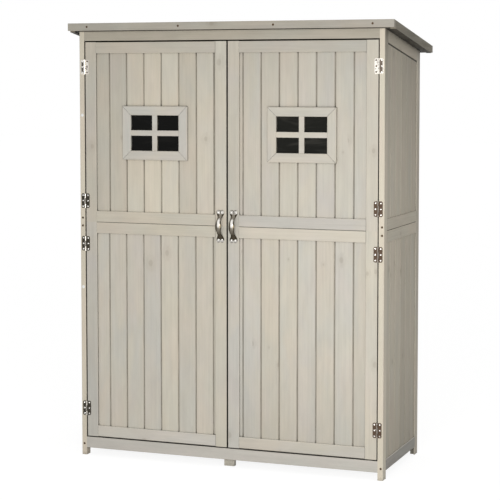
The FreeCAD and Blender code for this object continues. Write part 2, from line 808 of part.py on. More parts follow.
def handle_ring(before, station, after):
    """Corners of the pressed strip's section, square to the bow between its neighbours."""
    height, reach, width, crown = station
    tilt = math.atan2(after[1] - before[1], before[0] - after[0])
    outwards = Vector(0, -math.cos(tilt), math.sin(tilt))
    middle = Vector(0, -reach, height)

    def corner(share, depth):
        place = middle + Vector(share * width / 2, 0, 0)
        return place - outwards * (crown * share ** 2 + depth)

    face = [corner(share, 0) for share in HANDLE_ACROSS]
    back = [corner(share, HANDLE_SHEET) for share in reversed(HANDLE_ACROSS)]
    return face + back


def flat_face(corners):
    return Part.Face(Part.makePolygon(corners + corners[:1]))


def handle_strip():
    """The bent strip in flat faces, two between each pair of neighbouring corners."""
    stations = handle_stations()
    neighbours = zip(stations[:1] + stations, stations, stations[1:] + stations[-1:])
    rings = [handle_ring(*three) for three in neighbours]
    faces = [flat_face(rings[0]), flat_face(rings[-1][::-1])]
    for upper, lower in zip(rings, rings[1:]):
        for here in range(len(upper)):
            last = here - 1
            faces.append(flat_face([upper[last], lower[here], upper[here]]))
            faces.append(flat_face([upper[last], lower[last], lower[here]]))
    return Part.makeSolid(Part.makeShell(faces)).removeSplitter()


def handle_hole(x, z, radius):
    """Many-sided bar through the foot of a handle, from front to back."""
    turns = [2 * math.pi * index / HANDLE_SIDES for index in range(HANDLE_SIDES)]
    far = HANDLE_REACH
    outline = [(x + radius * math.cos(turn), -far, z + radius * math.sin(turn)) for turn in turns]
    return prism(outline, (0, 2 * far, 0))


def handle(side):
    """Pressed bow handle: two-lobed feet with two holes each and a rounded grip."""
    half = HANDLE_HEIGHT / 2
    bow = handle_strip()
    for end in (-half, half):
        outwards = math.copysign(1, end)
        notch = end + outwards * (HANDLE_NOTCH_RADIUS - HANDLE_NOTCH_DEPTH)
        bow = bow.cut(handle_hole(0, notch, HANDLE_NOTCH_RADIUS))
        for x in (-HANDLE_HOLE_SPACING / 2, HANDLE_HOLE_SPACING / 2):
            bow = bow.cut(handle_hole(x, end - outwards * HANDLE_HOLE_INSET, HANDLE_HOLE))
    return moved([bow], x=meeting_place(side, HANDLE_INSET), z=JOINT_HEIGHT)


# Hinges

def barrel(radius, low, high):
    """Many-sided bar around the pin's axis; radius is to the middle of its flats."""
    half_side = math.pi / KNUCKLE_SIDES
    corner = radius / math.cos(half_side)
    angles = [half_side * (2 * index + 1) for index in range(KNUCKLE_SIDES)]
    outline = [(corner * math.cos(angle), corner * math.sin(angle)) for angle in angles]
    return upright(outline, low, high)


def hinge_leaf(knuckles):
    """Leaf to the right of the pin, with clipped outer corners and some of the knuckles."""
    half = HINGE_HEIGHT / 2
    inner = KNUCKLE_RADIUS + KNUCKLE_GAP
    clip = HINGE_CORNER
    far = HINGE_LEAF_WIDTH
    outline = [
        (inner, -half),
        (far - clip, -half),
        (far, clip - half),
        (far, half - clip),
        (far - clip, half),
        (inner, half),
    ]
    front = -PIN_Y - HINGE_SHEET
    leaf = prism([(x, front, z) for x, z in outline], (0, HINGE_SHEET, 0))
    for low, high in knuckles:
        curl = box(0, inner, front, -PIN_Y - KNUCKLE_GAP, low, high)
        leaf = leaf.fuse(curl.fuse(barrel(KNUCKLE_RADIUS, low, high)))
        leaf = leaf.cut(barrel(PIN_RADIUS + PIN_PLAY, low, high))
    return leaf.removeSplitter()


def knuckle_spans():
    """Spans of the three knuckles, the outer two a gap short of the middle one."""
    ends = [HINGE_HEIGHT * (share - 0.5) for share in KNUCKLE_SHARE]
    half = KNUCKLE_GAP / 2
    lower = (ends[0], ends[1] - half)
    middle = (ends[1] + half, ends[2] - half)
    upper = (ends[2] + half, ends[3])
    return lower, middle, upper


def hinge_pin():
    half = HINGE_HEIGHT / 2
    return Part.makeCylinder(PIN_RADIUS, HINGE_HEIGHT, Vector(0, 0, -half))


def hinges():
    """Four hinges for each door: leaf on the post, leaf on the door, and pin."""
    lower, middle, upper = knuckle_spans()
    post_leaf = hinge_leaf([lower, upper])
    door_leaf = hinge_leaf([middle])
    pin = hinge_pin()
    post_leaves = []
    door_leaves = []
    pins = []
    for z in HINGE_HEIGHTS:
        post_leaves += moved([post_leaf], x=PIN_X, y=PIN_Y, z=z)
        door_leaves += moved([door_leaf], x=-PIN_X, y=PIN_Y, z=z)
        pins += moved([pin], x=PIN_X, y=PIN_Y, z=z)
    return {
        "post_hinge_leaves": post_leaves + mirrored(post_leaves),
        "hinge_pins": pins + mirrored(pins),
        "left_door_hinge_leaves": door_leaves,
        "right_door_hinge_leaves": mirrored(door_leaves),
    }


def build():
    nodes = side_walls()
    nodes["header_rail"] = header()
    nodes["front_bottom_rail"] = front_bottom_rail()
    nodes["centre_feet"] = centre_feet()
    nodes["floor_bearers"] = floor_bearers()
    nodes["floor_boards"] = floor_boards()
    nodes["back_rails"] = back_rails()
    nodes["back_boards"] = back_boards()
    nodes["partition_boards"] = partition_boards()
    nodes["partition_rails"] = partition_rails()
    nodes["shelf_boards"] = shelf_boards()
    nodes["shelf_cleats"] = shelf_cleats()
    nodes["front_fascia"] = front_fascia()
    nodes["rear_fascia"] = rear_fascia()
    nodes["verge_boards"] = verge_boards()
    nodes["roof_boards"] = roof_boards()
    nodes["roof_bearers"] = roof_bearers()
    nodes["roofing_felt"] = roofing_felt()
    nodes["magnetic_catches"] = catches()
    nodes.update(hinges())
    for side in ("left", "right"):
        nodes.update(door_panels(side))
        nodes[f"{side}_window_casing"] = window_casing(side)
        nodes[f"{side}_window_muntins"] = window_muntins(side)
        nodes[f"{side}_window_pane"] = window_pane(side)
        nodes[f"{side}_window_beads"] = window_beads(side)
        nodes[f"{side}_door_batten"] = clamp_batten(side)
        nodes[f"{side}_door_strikes"] = strikes(side)
        nodes[f"{side}_door_handle"] = handle(side)
    return nodes


def write(nodes):
    os.makedirs("parts", exist_ok=True)
    for name, shapes in nodes.items():
        shapes = moved(shapes, y=-ORIGIN_Y)
        solids = [solid for shape in shapes for solid in shape.Solids]
        shape = solids[0] if len(solids) == 1 else Part.makeCompound(solids)
        shape.exportStep(os.path.join("parts", name + ".step"))
    print(len(nodes), "nodes,", sum(len(shapes) for shapes in nodes.values()), "pieces")


write(build())
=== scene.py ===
"""The looks of a two-door garden cabinet in grey-beige stained spruce.

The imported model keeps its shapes. This script gives it a camera, a studio and node
materials, and adds the small screws and caps that the model leaves out. Units are metres.
"""

import json
import math
import random

import bmesh
import bpy
from mathutils import Matrix, Vector


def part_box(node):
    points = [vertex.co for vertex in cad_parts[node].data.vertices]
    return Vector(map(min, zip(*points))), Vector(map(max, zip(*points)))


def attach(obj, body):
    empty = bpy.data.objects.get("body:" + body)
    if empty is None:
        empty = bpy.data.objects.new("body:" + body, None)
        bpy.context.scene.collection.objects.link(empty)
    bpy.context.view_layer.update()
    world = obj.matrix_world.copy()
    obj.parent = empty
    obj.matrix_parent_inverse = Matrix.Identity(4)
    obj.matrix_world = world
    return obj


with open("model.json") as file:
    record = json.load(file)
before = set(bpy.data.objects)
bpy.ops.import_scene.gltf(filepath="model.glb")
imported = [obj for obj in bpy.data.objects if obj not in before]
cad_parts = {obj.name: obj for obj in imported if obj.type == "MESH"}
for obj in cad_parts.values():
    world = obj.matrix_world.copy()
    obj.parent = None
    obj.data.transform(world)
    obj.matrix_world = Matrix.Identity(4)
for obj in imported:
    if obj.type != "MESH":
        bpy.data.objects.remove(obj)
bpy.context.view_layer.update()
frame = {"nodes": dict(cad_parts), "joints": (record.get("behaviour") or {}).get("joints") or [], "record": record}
NODES = frame["nodes"]
X, Y, Z = range(3)
SIDES = {"left": -1, "right": 1}  # each side, and which way it lies along X

# Camera, fitted to the photograph
FOCAL_PIXELS = 1628.6
IMAGE_WIDTH = 500
SENSOR_WIDTH = 36.0
CAMERA_PLACE = (2.192, -5.807, 1.437)
CAMERA_TURN = math.radians(20.71)
CAMERA_DIP = math.radians(4.04)
CAMERA_SHIFT = -0.11

# Studio
KEY_PLACE = (1.05, -3.3, 0.95)
KEY_AIM = (0.1, 0.0, 0.60)
KEY_SIZE = 1.3
KEY_POWER = 65.5
ROOM_LIGHT = 0.44
FLOOR_HALF = 30.0
FLOOR_SQUARES = 8
FLOOR_GLOW = 0.62            # share of a glow in what is seen of the floor
FLOOR_GLOW_LEVEL = 1.42
FLOOR_GREY = 0.60

# Colours of the wood, the stain from the coolest board to the warmest one
COOL_STAIN = (0.535, 0.513, 0.468)
MIDDLE_STAIN = (0.570, 0.530, 0.448)
WARM_STAIN = (0.605, 0.545, 0.435)
GREEN_CAST = (0.540, 0.545, 0.465)
PINK_CAST = (0.620, 0.530, 0.465)
GROOVE_STAIN = (0.200, 0.175, 0.130)
# pale bevels on the frame: bare wood where the stain is worn, and a painted highlight along the arrises
BARE_EDGE_AND_HIGHLIGHT = (0.700, 0.650, 0.540)
END_GRAIN = (0.300, 0.265, 0.205)
KNOT_BROWN = (0.200, 0.150, 0.100)
# near black: painted shade in crevices and under edges, and the darkening that the mesh marks
DARK_TONE = (0.014, 0.012, 0.008)

# Patterns in the wood, in repeats per metre along, across and through a piece
CLOUDS = (3.2, 8.0, 8.0)
CASTS = (4.0, 9.0, 17.0)
BLOTCHES = (9.0, 30.0, 30.0)
GRAIN = (3.0, 150.0, 150.0)
PORES = (26.0, 900.0, 900.0)
SEED_REACH = 60.0            # how far apart two pieces may lie in a pattern
LIGHTNESS_REACH = 40.0       # the same for each step of lightness

# The span of a noise that counts; what lies outside it is held at its ends
WIDE = (0.25, 0.75)
NARROW = (0.30, 0.70)

# How far each pattern and tone goes
CLOUD_WARMTH = 0.28          # warmer or cooler in a cloud
CAST_SHARE = 0.22
LIGHTNESS_STEP = 0.07        # of the stain's brightness, for each step of lightness
BLOTCH_DEPTH = 0.030
GRAIN_DARK = 0.036
GRAIN_PALE = 0.032
PORE_DEPTH = 0.030
GRAIN_BEND = 0.5             # how far the grain swings round a knot
HALO_SHARE = 0.35            # of a knot's brown, in the ring round it
END_SHARE = 0.75             # of the end grain's colour, on sawn ends
DARK_SHARE = 0.95            # of the dark tone, in the deepest crevice's painted shade and where the darkening is full
ROOF_SHADE_HEIGHTS = (1.05, 1.55)  # where the side walls' boards begin and cease to darken

# Painted shade in crevices, and the darkening attribute
CREVICE_REACH = 0.030
CREVICE_SHUT = 0.26          # openness at which the painted shade in a crevice is darkest
CREVICE_OPEN = 0.61          # openness from which a surface gets no painted shade
CREVICE_SAMPLES = 6
DARKENING_START = 0.05            # value of the darkening attribute from which it shows
DARKENING_FULL = 0.5

# Knots
KNOT_RARITY = 0.72           # share of the places for a knot that stay empty
KNOT_SPACING = (0.34, 0.075)
KNOT_SIZE = 0.0085
HALO_SIZE = 0.022
KNOT_LEAST = 0.35            # the smallest knot, as a share of the size
KNOT_STRETCH = 0.7           # a knot's width as a share of its length
KNOT_CORE = 0.55             # share of a knot's radius that is full brown


class Shader:
    """A node material that is put together call by call."""

    def __init__(self, name):
        self.material = bpy.data.materials.new(name)
        self.material.use_nodes = True
        self.tree = self.material.node_tree
        self.tree.nodes.clear()
        self.body = self.add("ShaderNodeBsdfPrincipled")
        self.output = self.add("ShaderNodeOutputMaterial")
        self.tree.links.new(self.body.outputs["BSDF"], self.output.inputs["Surface"])

    def add(self, kind, **settings):
        """A node with its own settings."""
        node = self.tree.nodes.new(kind)
        for name, value in settings.items():
            setattr(node, name, value)
        return node

    def feed(self, node, values):
        """Sets or links the inputs of a node; values are keyed by socket name or number."""
        for key, value in values.items():
            socket = node.inputs[key]
            if isinstance(value, bpy.types.NodeSocket):
                self.tree.links.new(value, socket)
            elif isinstance(value, tuple) and socket.type == "RGBA":
                socket.default_value = (*value, 1.0)[:4]
            else:
                socket.default_value = value
        return node

    def math(self, operation, *values, clamp=False):
        node = self.add("ShaderNodeMath", operation=operation, use_clamp=clamp)
        return self.feed(node, dict(enumerate(values))).outputs[0]

    def vector(self, operation, *values):
        node = self.add("ShaderNodeVectorMath", operation=operation)
        self.feed(node, dict(enumerate(values)))
        return node.outputs["Value" if operation == "LENGTH" else "Vector"]

    def attribute(self, name, part="Vector"):
        """What is stored on the mesh under a name, as a vector or as a number."""
        return self.add("ShaderNodeAttribute", attribute_name=name).outputs[part]

    def parts(self, vector):
        node = self.feed(self.add("ShaderNodeSeparateXYZ"), {0: vector})
        return node.outputs[0], node.outputs[1], node.outputs[2]

    def join(self, x, y, z):
        return self.feed(self.add("ShaderNodeCombineXYZ"), {0: x, 1: y, 2: z}).outputs[0]

    def noise(self, place, detail=2.0, roughness=0.5, warp=0.0):
        """Noise from 0 to 1 at a place that is already stretched to its scale."""
        node = self.add("ShaderNodeTexNoise", noise_dimensions="3D")
        self.feed(node, {"Vector": place, "Scale": 1.0, "Detail": detail})
        self.feed(node, {"Roughness": roughness, "Distortion": warp})
        return node.outputs["Fac"]

    def pattern(self, scale, detail=2.0, roughness=0.5, warp=0.0):
        """Noise with so many repeats per metre along, across and through a piece."""
        place = self.vector("MULTIPLY", self.attribute("grain_place"), scale)
        return self.noise(place, detail, roughness, warp)

    def cells(self, place):
        """The nearest cell's middle and its random colour."""
        node = self.add("ShaderNodeTexVoronoi", voronoi_dimensions="3D", feature="F1")
        self.feed(node, {"Vector": place, "Scale": 1.0, "Randomness": 1.0})
        return node.outputs["Position"], node.outputs["Color"]

    def spread(self, value, low, high, to_low=0.0, to_high=1.0):
        """A smooth step of the value from one span to another."""
        node = self.add("ShaderNodeMapRange", interpolation_type="SMOOTHSTEP")
        self.feed(node, {0: value, 1: low, 2: high, 3: to_low, 4: to_high})
        return node.outputs[0]

    def mix(self, share, first, second, blend="MIX"):
        """A mix of two colours."""
        node = self.add("ShaderNodeMix", data_type="RGBA", blend_type=blend)
        self.feed(node, {0: share, 6: first, 7: second})
        return node.outputs[2]

    def ramp(self, share, colours):
        """Colours in even steps along a share from 0 to 1."""
        node = self.add("ShaderNodeValToRGB")
        marks = node.color_ramp.elements
        while len(marks) < len(colours):
            marks.new(0.5)
        for number, colour in enumerate(colours):
            marks[number].position = number / (len(colours) - 1)
            marks[number].color = (*colour, 1.0)
        return self.feed(node, {0: share}).outputs[0]

    def shade(self, colour, amount):
        """A colour times a number."""
        return self.mix(1.0, colour, self.join(amount, amount, amount), "MULTIPLY")

    def crevice(self):
        """1 deep in a gap or under an edge, and 0 where nothing stands near."""
        node = self.add("ShaderNodeAmbientOcclusion", samples=CREVICE_SAMPLES)
        self.feed(node, {"Distance": CREVICE_REACH})
        return self.spread(node.outputs["AO"], CREVICE_SHUT, CREVICE_OPEN, 1.0, 0.0)

    def bump(self, height, strength, distance):
        node = self.add("ShaderNodeBump")
        self.feed(node, {"Height": height, "Strength": strength, "Distance": distance})
        return node.outputs["Normal"]

    def finish(self, **values):
        """Sets or links the body's sockets, named with underscores for blanks."""
        self.feed(self.body, {name.replace("_", " "): value for name, value in values.items()})
        return self.material


# Pieces of a node and their own coordinates
CORNERS_PER_METRE = 100000   # corners in the same hundredth of a millimetre are one
BOARD_LEAST_WIDTH = 0.030    # flat faces narrower than this don't count as a board's face
FLAT_ENOUGH = 0.95           # least share of a face's normal through a board


def loose_pieces(mesh):
    """The faces of each solid of a mesh, whose corners the frame splits at sharp edges."""
    corner_of = {}
    linked = {}

    def root(corner):
        while linked[corner] != corner:
            linked[corner] = linked[linked[corner]]
            corner = linked[corner]
        return corner

    for vertex in mesh.vertices:
        corner = tuple(round(value * CORNERS_PER_METRE) for value in vertex.co)
        corner_of[vertex.index] = corner
        linked.setdefault(corner, corner)
    for face in mesh.polygons:
        first = root(corner_of[face.vertices[0]])
        for vertex in face.vertices[1:]:
            linked[root(corner_of[vertex])] = first
    groups = {}
    for face in mesh.polygons:
        groups.setdefault(root(corner_of[face.vertices[0]]), []).append(face)
    return list(groups.values())


def extent(mesh, faces):
    """The lowest and highest corner of some faces."""
    places = [mesh.vertices[number].co for face in faces for number in face.vertices]
    low = Vector([min(place[axis] for place in places) for axis in range(3)])
    high = Vector([max(place[axis] for place in places) for axis in range(3)])
    return low, high


def piece_boxes(node):
    """The box of each solid of a node, lowest first."""
    mesh = NODES[node].data
    boxes = [extent(mesh, faces) for faces in loose_pieces(mesh)]
    return sorted(boxes, key=lambda box: (round(box[0].z, 3), box[0].x, box[0].y))


def longest_first(low, high):
    """The three axes, from a box's longest side to its shortest."""
    return sorted(range(3), key=lambda axis: low[axis] - high[axis])


def board_middles(mesh, faces):
    """Where the boards of a panel have their middles, across the boards."""
    _, width, thickness = longest_first(*extent(mesh, faces))
    middles = []
    for face in faces:
        if abs(face.normal[thickness]) > FLAT_ENOUGH:
            places = [mesh.vertices[number].co[width] for number in face.vertices]
            if max(places) - min(places) > BOARD_LEAST_WIDTH:
                middles.append((min(places) + max(places)) / 2)
    groups = []
    for middle in sorted(middles):
        if not groups or middle - groups[-1][-1] > BOARD_LEAST_WIDTH:
            groups.append([])
        groups[-1].append(middle)
    return width, [(group[0] + group[-1]) / 2 for group in groups]


def split_boards(mesh, faces):
    """The faces of each board of a panel, set apart at the grooves between the boards."""
    width, middles = board_middles(mesh, faces)
    boards = {}
    for face in faces:
        nearest = min(middles, key=lambda middle: abs(face.center[width] - middle))
        boards.setdefault(nearest, []).append(face)
    return list(boards.values())


def pieces_of(name, mesh):
    """The faces of each piece of a node. Matched boards touch, so they are told apart by
    their flat faces; a verge board stands alone."""
    pieces = loose_pieces(mesh)
    if not name.endswith("_boards") or name == "verge_boards":
        return pieces
    return [board for piece in pieces for board in split_boards(mesh, piece)]


def write_grain(name, mesh, warmth, spread):
    """Stores on a mesh, for the shaders, where each point lies along, across and through
    its own piece, which way each face looks there, and three tones for each piece: its
    warmth, its lightness and a chance."""
    place = mesh.attributes.new("grain_place", "FLOAT_VECTOR", "POINT")
    facing = mesh.attributes.new("facing", "FLOAT_VECTOR", "FACE")
    tone = mesh.attributes.new("piece_tone", "FLOAT_VECTOR", "FACE")
    for number, faces in enumerate(pieces_of(name, mesh)):
        chance = random.Random(f"{name} {number}")
        warmer = spread * (chance.random() - 0.5)
        tones = (warmth + warmer, chance.random(), chance.random())
        low, high = extent(mesh, faces)
        middle = (low + high) / 2
        order = longest_first(low, high)
        for face in faces:
            facing.data[face.index].vector = [face.normal[axis] for axis in order]
            tone.data[face.index].vector = tones
            for vertex in face.vertices:
                offset = mesh.vertices[vertex].co - middle
                place.data[vertex].vector = [offset[axis] for axis in order]


# Wood
def knots(shader, seed, size):
    """How far a point is inside a knot, from 0 to 1."""
    along, across, _ = shader.parts(shader.attribute("grain_place"))
    stretched = shader.join(
        shader.math("DIVIDE", along, KNOT_SPACING[0]),
        shader.math("DIVIDE", across, KNOT_SPACING[1]),
        seed,
    )
    heart, chances = shader.cells(stretched)
    away = shader.vector("SUBTRACT", stretched, heart)
    real_size = (KNOT_SPACING[0] * KNOT_STRETCH, KNOT_SPACING[1], 0.0)
    distance = shader.vector("LENGTH", shader.vector("MULTIPLY", away, real_size))
    chance_of_one, _, size_chance = shader.parts(chances)
    present = shader.math("GREATER_THAN", chance_of_one, KNOT_RARITY)
    radius = shader.math("MULTIPLY_ADD", size_chance, size, size * KNOT_LEAST)
    share = shader.math("DIVIDE", distance, radius)
    inside = shader.spread(share, KNOT_CORE, 1.0, 1.0, 0.0)
    return shader.math("MULTIPLY", inside, present)


def stain(shader, warmth, cloud, cast):
    """The stain's colour, warmer and cooler in clouds, with a green or pink cast."""
    swing = shader.spread(cloud, 0.28, 0.72, -CLOUD_WARMTH, CLOUD_WARMTH)
    hue = shader.math("ADD", warmth, swing, clamp=True)
    colour = shader.ramp(hue, (COOL_STAIN, MIDDLE_STAIN, WARM_STAIN))
    casts = (GREEN_CAST, MIDDLE_STAIN, PINK_CAST)
    return shader.mix(CAST_SHARE, colour, shader.ramp(shader.spread(cast, *NARROW), casts))


def stain_level(shader, light, lightness, blotch, grain, pores, roof_shade):
    """How light the stain is at a point, with painted shade towards the roof where roof_shade is given."""
    level = shader.math("MULTIPLY_ADD", lightness, LIGHTNESS_STEP, light - LIGHTNESS_STEP / 2)
    swings = [
        shader.spread(blotch, *WIDE, -BLOTCH_DEPTH, BLOTCH_DEPTH),
        shader.spread(grain, *WIDE, -GRAIN_DARK, GRAIN_PALE),
        shader.spread(pores, 0.30, 0.55, -PORE_DEPTH, 0.0),
    ]
    if roof_shade:
        # painted shade under the roof
        height = shader.parts(shader.add("ShaderNodeTexCoord").outputs["Object"])[2]
        swings.append(shader.spread(height, *ROOF_SHADE_HEIGHTS, 0.0, -roof_shade))
    for swing in swings:
        level = shader.math("ADD", level, swing)
    return level


def marked_edges(shader, colour, blotch, edge_colour, edge_share):
    """The wood with its bevels in an edge colour, pale with wear and painted highlight on the frame, dark with
    filled stain between boards, and its sawn ends darker.
    """
    end_on, edge_on, flat_on = [
        shader.math("ABSOLUTE", part) for part in shader.parts(shader.attribute("facing"))
    ]
    squarest = shader.math("MAXIMUM", flat_on, shader.math("MAXIMUM", edge_on, end_on))
    slanted = shader.spread(squarest, 0.90, 0.97, 1.0, 0.0)
    # on the frame, the edge colour is wear and a painted highlight on the bevels
    edge_mark = shader.math("MULTIPLY", slanted, shader.spread(blotch, 0.30, 0.65, 0.35, 1.0))
    colour = shader.mix(shader.math("MULTIPLY", edge_mark, edge_share), colour, edge_colour)
    return shader.mix(shader.spread(end_on, 0.95, 0.99, 0.0, END_SHARE), colour, END_GRAIN)


def shaded_and_darkened(shader, colour):
    """The wood with painted shade in its crevices, and darkened where the mesh's darkening attribute asks for it.
    """
    # how closed in a point is, painted into the colour as shade
    closed_in = shader.math("MULTIPLY", shader.crevice(), DARK_SHARE)
    marked = shader.spread(shader.attribute("darkening", "Fac"), DARKENING_START, DARKENING_FULL, 0.0, DARK_SHARE)
    return shader.mix(shader.math("MAXIMUM", closed_in, marked), colour, DARK_TONE)


def stained_wood(
    name, edge_colour, edge_share, light=1.0, sheen=0.35, knot_share=0.2, roof_shade=0.0
):
    """Spruce under a thin stain: clouds of tint, fine grain, knots, painted shade in crevices, and bevels that are
    pale with wear and painted highlight on the frame, dark with filled stain between boards.
    """
    shader = Shader(name)
    warmth, lightness, chance = shader.parts(shader.attribute("piece_tone"))
    seed = shader.math("MULTIPLY", chance, SEED_REACH)
    own_part = shader.join(seed, shader.math("MULTIPLY", lightness, LIGHTNESS_REACH), 0.0)

    def spot(scale):
        place = shader.vector("MULTIPLY", shader.attribute("grain_place"), scale)
        return shader.vector("ADD", place, own_part)

    knot = knots(shader, seed, KNOT_SIZE)
    halo = knots(shader, seed, HALO_SIZE)
    bend = shader.math("MULTIPLY", halo, GRAIN_BEND)
    grain_spot = shader.vector("ADD", spot(GRAIN), shader.join(0.0, bend, bend))
    grain = shader.noise(grain_spot, 3.0, 0.6, 0.8)
    pores = shader.noise(spot(PORES), 2.0, 0.7)
    blotch = shader.noise(spot(BLOTCHES), 2.0, 0.5, 0.3)
    cloud = shader.noise(spot(CLOUDS), 3.0, 0.55, 0.8)
    cast = shader.noise(spot(CASTS), 2.0, 0.5)

    colour = stain(shader, warmth, cloud, cast)
    level = stain_level(shader, light, lightness, blotch, grain, pores, roof_shade)
    colour = shader.shade(colour, level)
    for form, share in ((halo, knot_share * HALO_SHARE), (knot, knot_share)):
        colour = shader.mix(shader.math("MULTIPLY", form, share), colour, KNOT_BROWN)
    colour = marked_edges(shader, colour, blotch, edge_colour, edge_share)

    height = shader.math("ADD", grain, shader.math("MULTIPLY", pores, 0.5))
    height = shader.math("SUBTRACT", height, shader.math("MULTIPLY", knot, 0.6))
    return shader.finish(
        Base_Color=shaded_and_darkened(shader, colour),
        Roughness=shader.spread(grain, *WIDE, 0.66, 0.50),
        Specular_IOR_Level=sheen,
        Normal=shader.bump(height, 0.28, 0.0006),
    )


# Felt, panes and plastic
FELT_GRAINS = ((0.012, 0.010, 0.009), (0.045, 0.041, 0.037), (0.160, 0.150, 0.140))
# near-black painted shade for the dark inside behind the pane, with lighter smears
PANE_SHADE_AND_SMEARS = ((0.002, 0.002, 0.001), (0.005, 0.005, 0.004), (0.030, 0.028, 0.024))
PANE_SHEEN = 0.09


def roofing_felt():
    """Bitumen felt with dark mineral grains."""
    shader = Shader("roofing_felt_finish")
    grains = shader.pattern((900.0, 900.0, 900.0), 2.0, 0.6)
    patches = shader.pattern((7.0, 7.0, 7.0), 3.0, 0.6)
    colour = shader.ramp(grains, FELT_GRAINS)
    return shader.finish(
        Base_Color=shader.shade(colour, shader.spread(patches, *NARROW, 0.75, 1.2)),
        Roughness=shader.spread(grains, *NARROW, 0.95, 0.75),
        Normal=shader.bump(grains, 0.6, 0.0008),
    )


def window_pane():
    """An opaque near-black pane, painted shade for the dark inside behind it, with faint smears."""
    shader = Shader("window_pane_finish")
    lightness = shader.parts(shader.attribute("piece_tone"))[1]
    smear = shader.pattern((6.0, 30.0, 30.0), 3.0, 0.6, 1.0)
    colour = shader.ramp(smear, PANE_SHADE_AND_SMEARS)
    return shader.finish(
        Base_Color=shader.shade(colour, shader.spread(lightness, 0.0, 1.0, 0.4, 2.2)),
        Roughness=shader.spread(smear, 0.35, 0.75, 0.03, 0.16),
        Specular_IOR_Level=PANE_SHEEN,
        Normal=shader.bump(smear, 0.05, 0.0004),
    )


def moulded_plastic(name, colour):
    """Matt plastic with a fine spark-eroded skin."""
    shader = Shader(name)
    skin = shader.pattern((1600.0, 1600.0, 1600.0), 2.0)
    dust = shader.pattern((90.0, 90.0, 90.0), 3.0, 0.6)
    plain = shader.ramp(0.0, (colour, colour))
    return shader.finish(
        Base_Color=shader.shade(plain, shader.spread(dust, *NARROW, 0.9, 1.03)),
        Roughness=shader.spread(dust, *NARROW, 0.45, 0.6),
        Normal=shader.bump(skin, 0.15, 0.0002),
    )


# Metal
RUST = (0.110, 0.060, 0.030)
# colours of the handle: bright nickel for the painted highlight and the feet, a dark base and dark edges as
# painted dark reflections, and painted shade on the lower grip
BRIGHT_NICKEL = (0.85, 0.82, 0.77)
DARK_REFLECTING_NICKEL = (0.24, 0.215, 0.175)
NICKEL_IN_SHADE = (0.065, 0.054, 0.037)
DARK_EDGE_NICKEL = (0.045, 0.036, 0.022)
SPOT_EDGE = 0.0006           # how far the edge of a dark patch wanders
PATCH_HEIGHT = (0.0215, 0.0245)  # half the height of a leaf's dark patch, a painted dark reflection on the hinges: full, and gone
PATCH_WIDTH = (0.0060, 0.0080)
RUST_SHARE = 0.7             # of the rust's colour, where a piece is rusty
METAL_UNDER_DARK = 0.35     # how metallic a darkened surface still is

# Places on a handle, from its middle, along it and across it
CROWN_MIDDLE = 0.013         # middle of the painted highlight on the crown
CROWN_LENGTH = 0.018         # half of it
CROWN_WIDTH = 0.0058         # half of it
BRIGHT_LINE = 0.0010         # middle line of the painted highlight
HIGHLIGHT_WANDER = 0.0012         # how far the edges of the painted highlight and of the dark edges wander
TOP_FOOT = (0.043, 0.048)    # where the grip ends and the foot begins
LOW_FOOT = (-0.0535, -0.0490)
HOLLOW_WIDTH = (0.0012, 0.0042)
TIPS = (0.0560, 0.0595)
SHADED_GRIP = (-0.042, 0.005)
DARK_EDGES = (0.0038, 0.0075)
FOOT_SPARED = 0.0085         # how much farther out the dark edges lie on the feet


def plated_steel(name, bright, dark, roughness):
    """Plated sheet steel with brown spots and dark patches, darkened all over as far as its piece_tone says; on
    the hinges, the patches and the darkening are painted dark reflections.
    """
    shader = Shader(name)
    place = shader.attribute("grain_place")
    along, across, _ = shader.parts(place)
    tarnish_and_dark_reflection, rust, chance = shader.parts(shader.attribute("piece_tone"))
    offset = shader.join(shader.math("MULTIPLY", chance, 30.0), 0.0, 0.0)
    spot = shader.vector("ADD", shader.vector("MULTIPLY", place, (160.0, 240.0, 240.0)), offset)
    spots = shader.noise(spot, 3.0, 0.6)
    fine = shader.pattern((300.0, 3000.0, 3000.0), 2.0, 0.6)
    wander = shader.spread(spots, *NARROW, -SPOT_EDGE, SPOT_EDGE)
    height = shader.math("ADD", shader.math("ABSOLUTE", along), wander)
    width = shader.math("ADD", shader.math("ABSOLUTE", across), wander)
    patch = shader.math(
        "MULTIPLY",
        shader.spread(height, *PATCH_HEIGHT, 1.0, 0.0),
        shader.spread(width, *PATCH_WIDTH, 1.0, 0.0),
    )
    patched = shader.math("MULTIPLY", patch, shader.spread(tarnish_and_dark_reflection, 0.2, 0.4, 0.0, 0.9))
    speckle = shader.math("MULTIPLY", patch, shader.spread(spots, 0.38, 0.46, 0.9, 0.0))
    share = shader.math("MAXIMUM", patched, speckle, clamp=True)
    share = shader.math("MAXIMUM", share, shader.spread(tarnish_and_dark_reflection, 0.6, 1.0))
    darkened = shader.mix(shader.math("MULTIPLY", rust, RUST_SHARE), dark, RUST)
    colour = shader.mix(share, bright, darkened)
    return shader.finish(
        Base_Color=shader.shade(colour, shader.spread(spots, *NARROW, 0.80, 1.05)),
        Metallic=shader.spread(share, 0.0, 1.0, 1.0, METAL_UNDER_DARK),
        Roughness=shader.math("ADD", shader.spread(fine, *NARROW, 0.0, 0.14), roughness),
        Normal=shader.bump(fine, 0.12, 0.0002),
    )


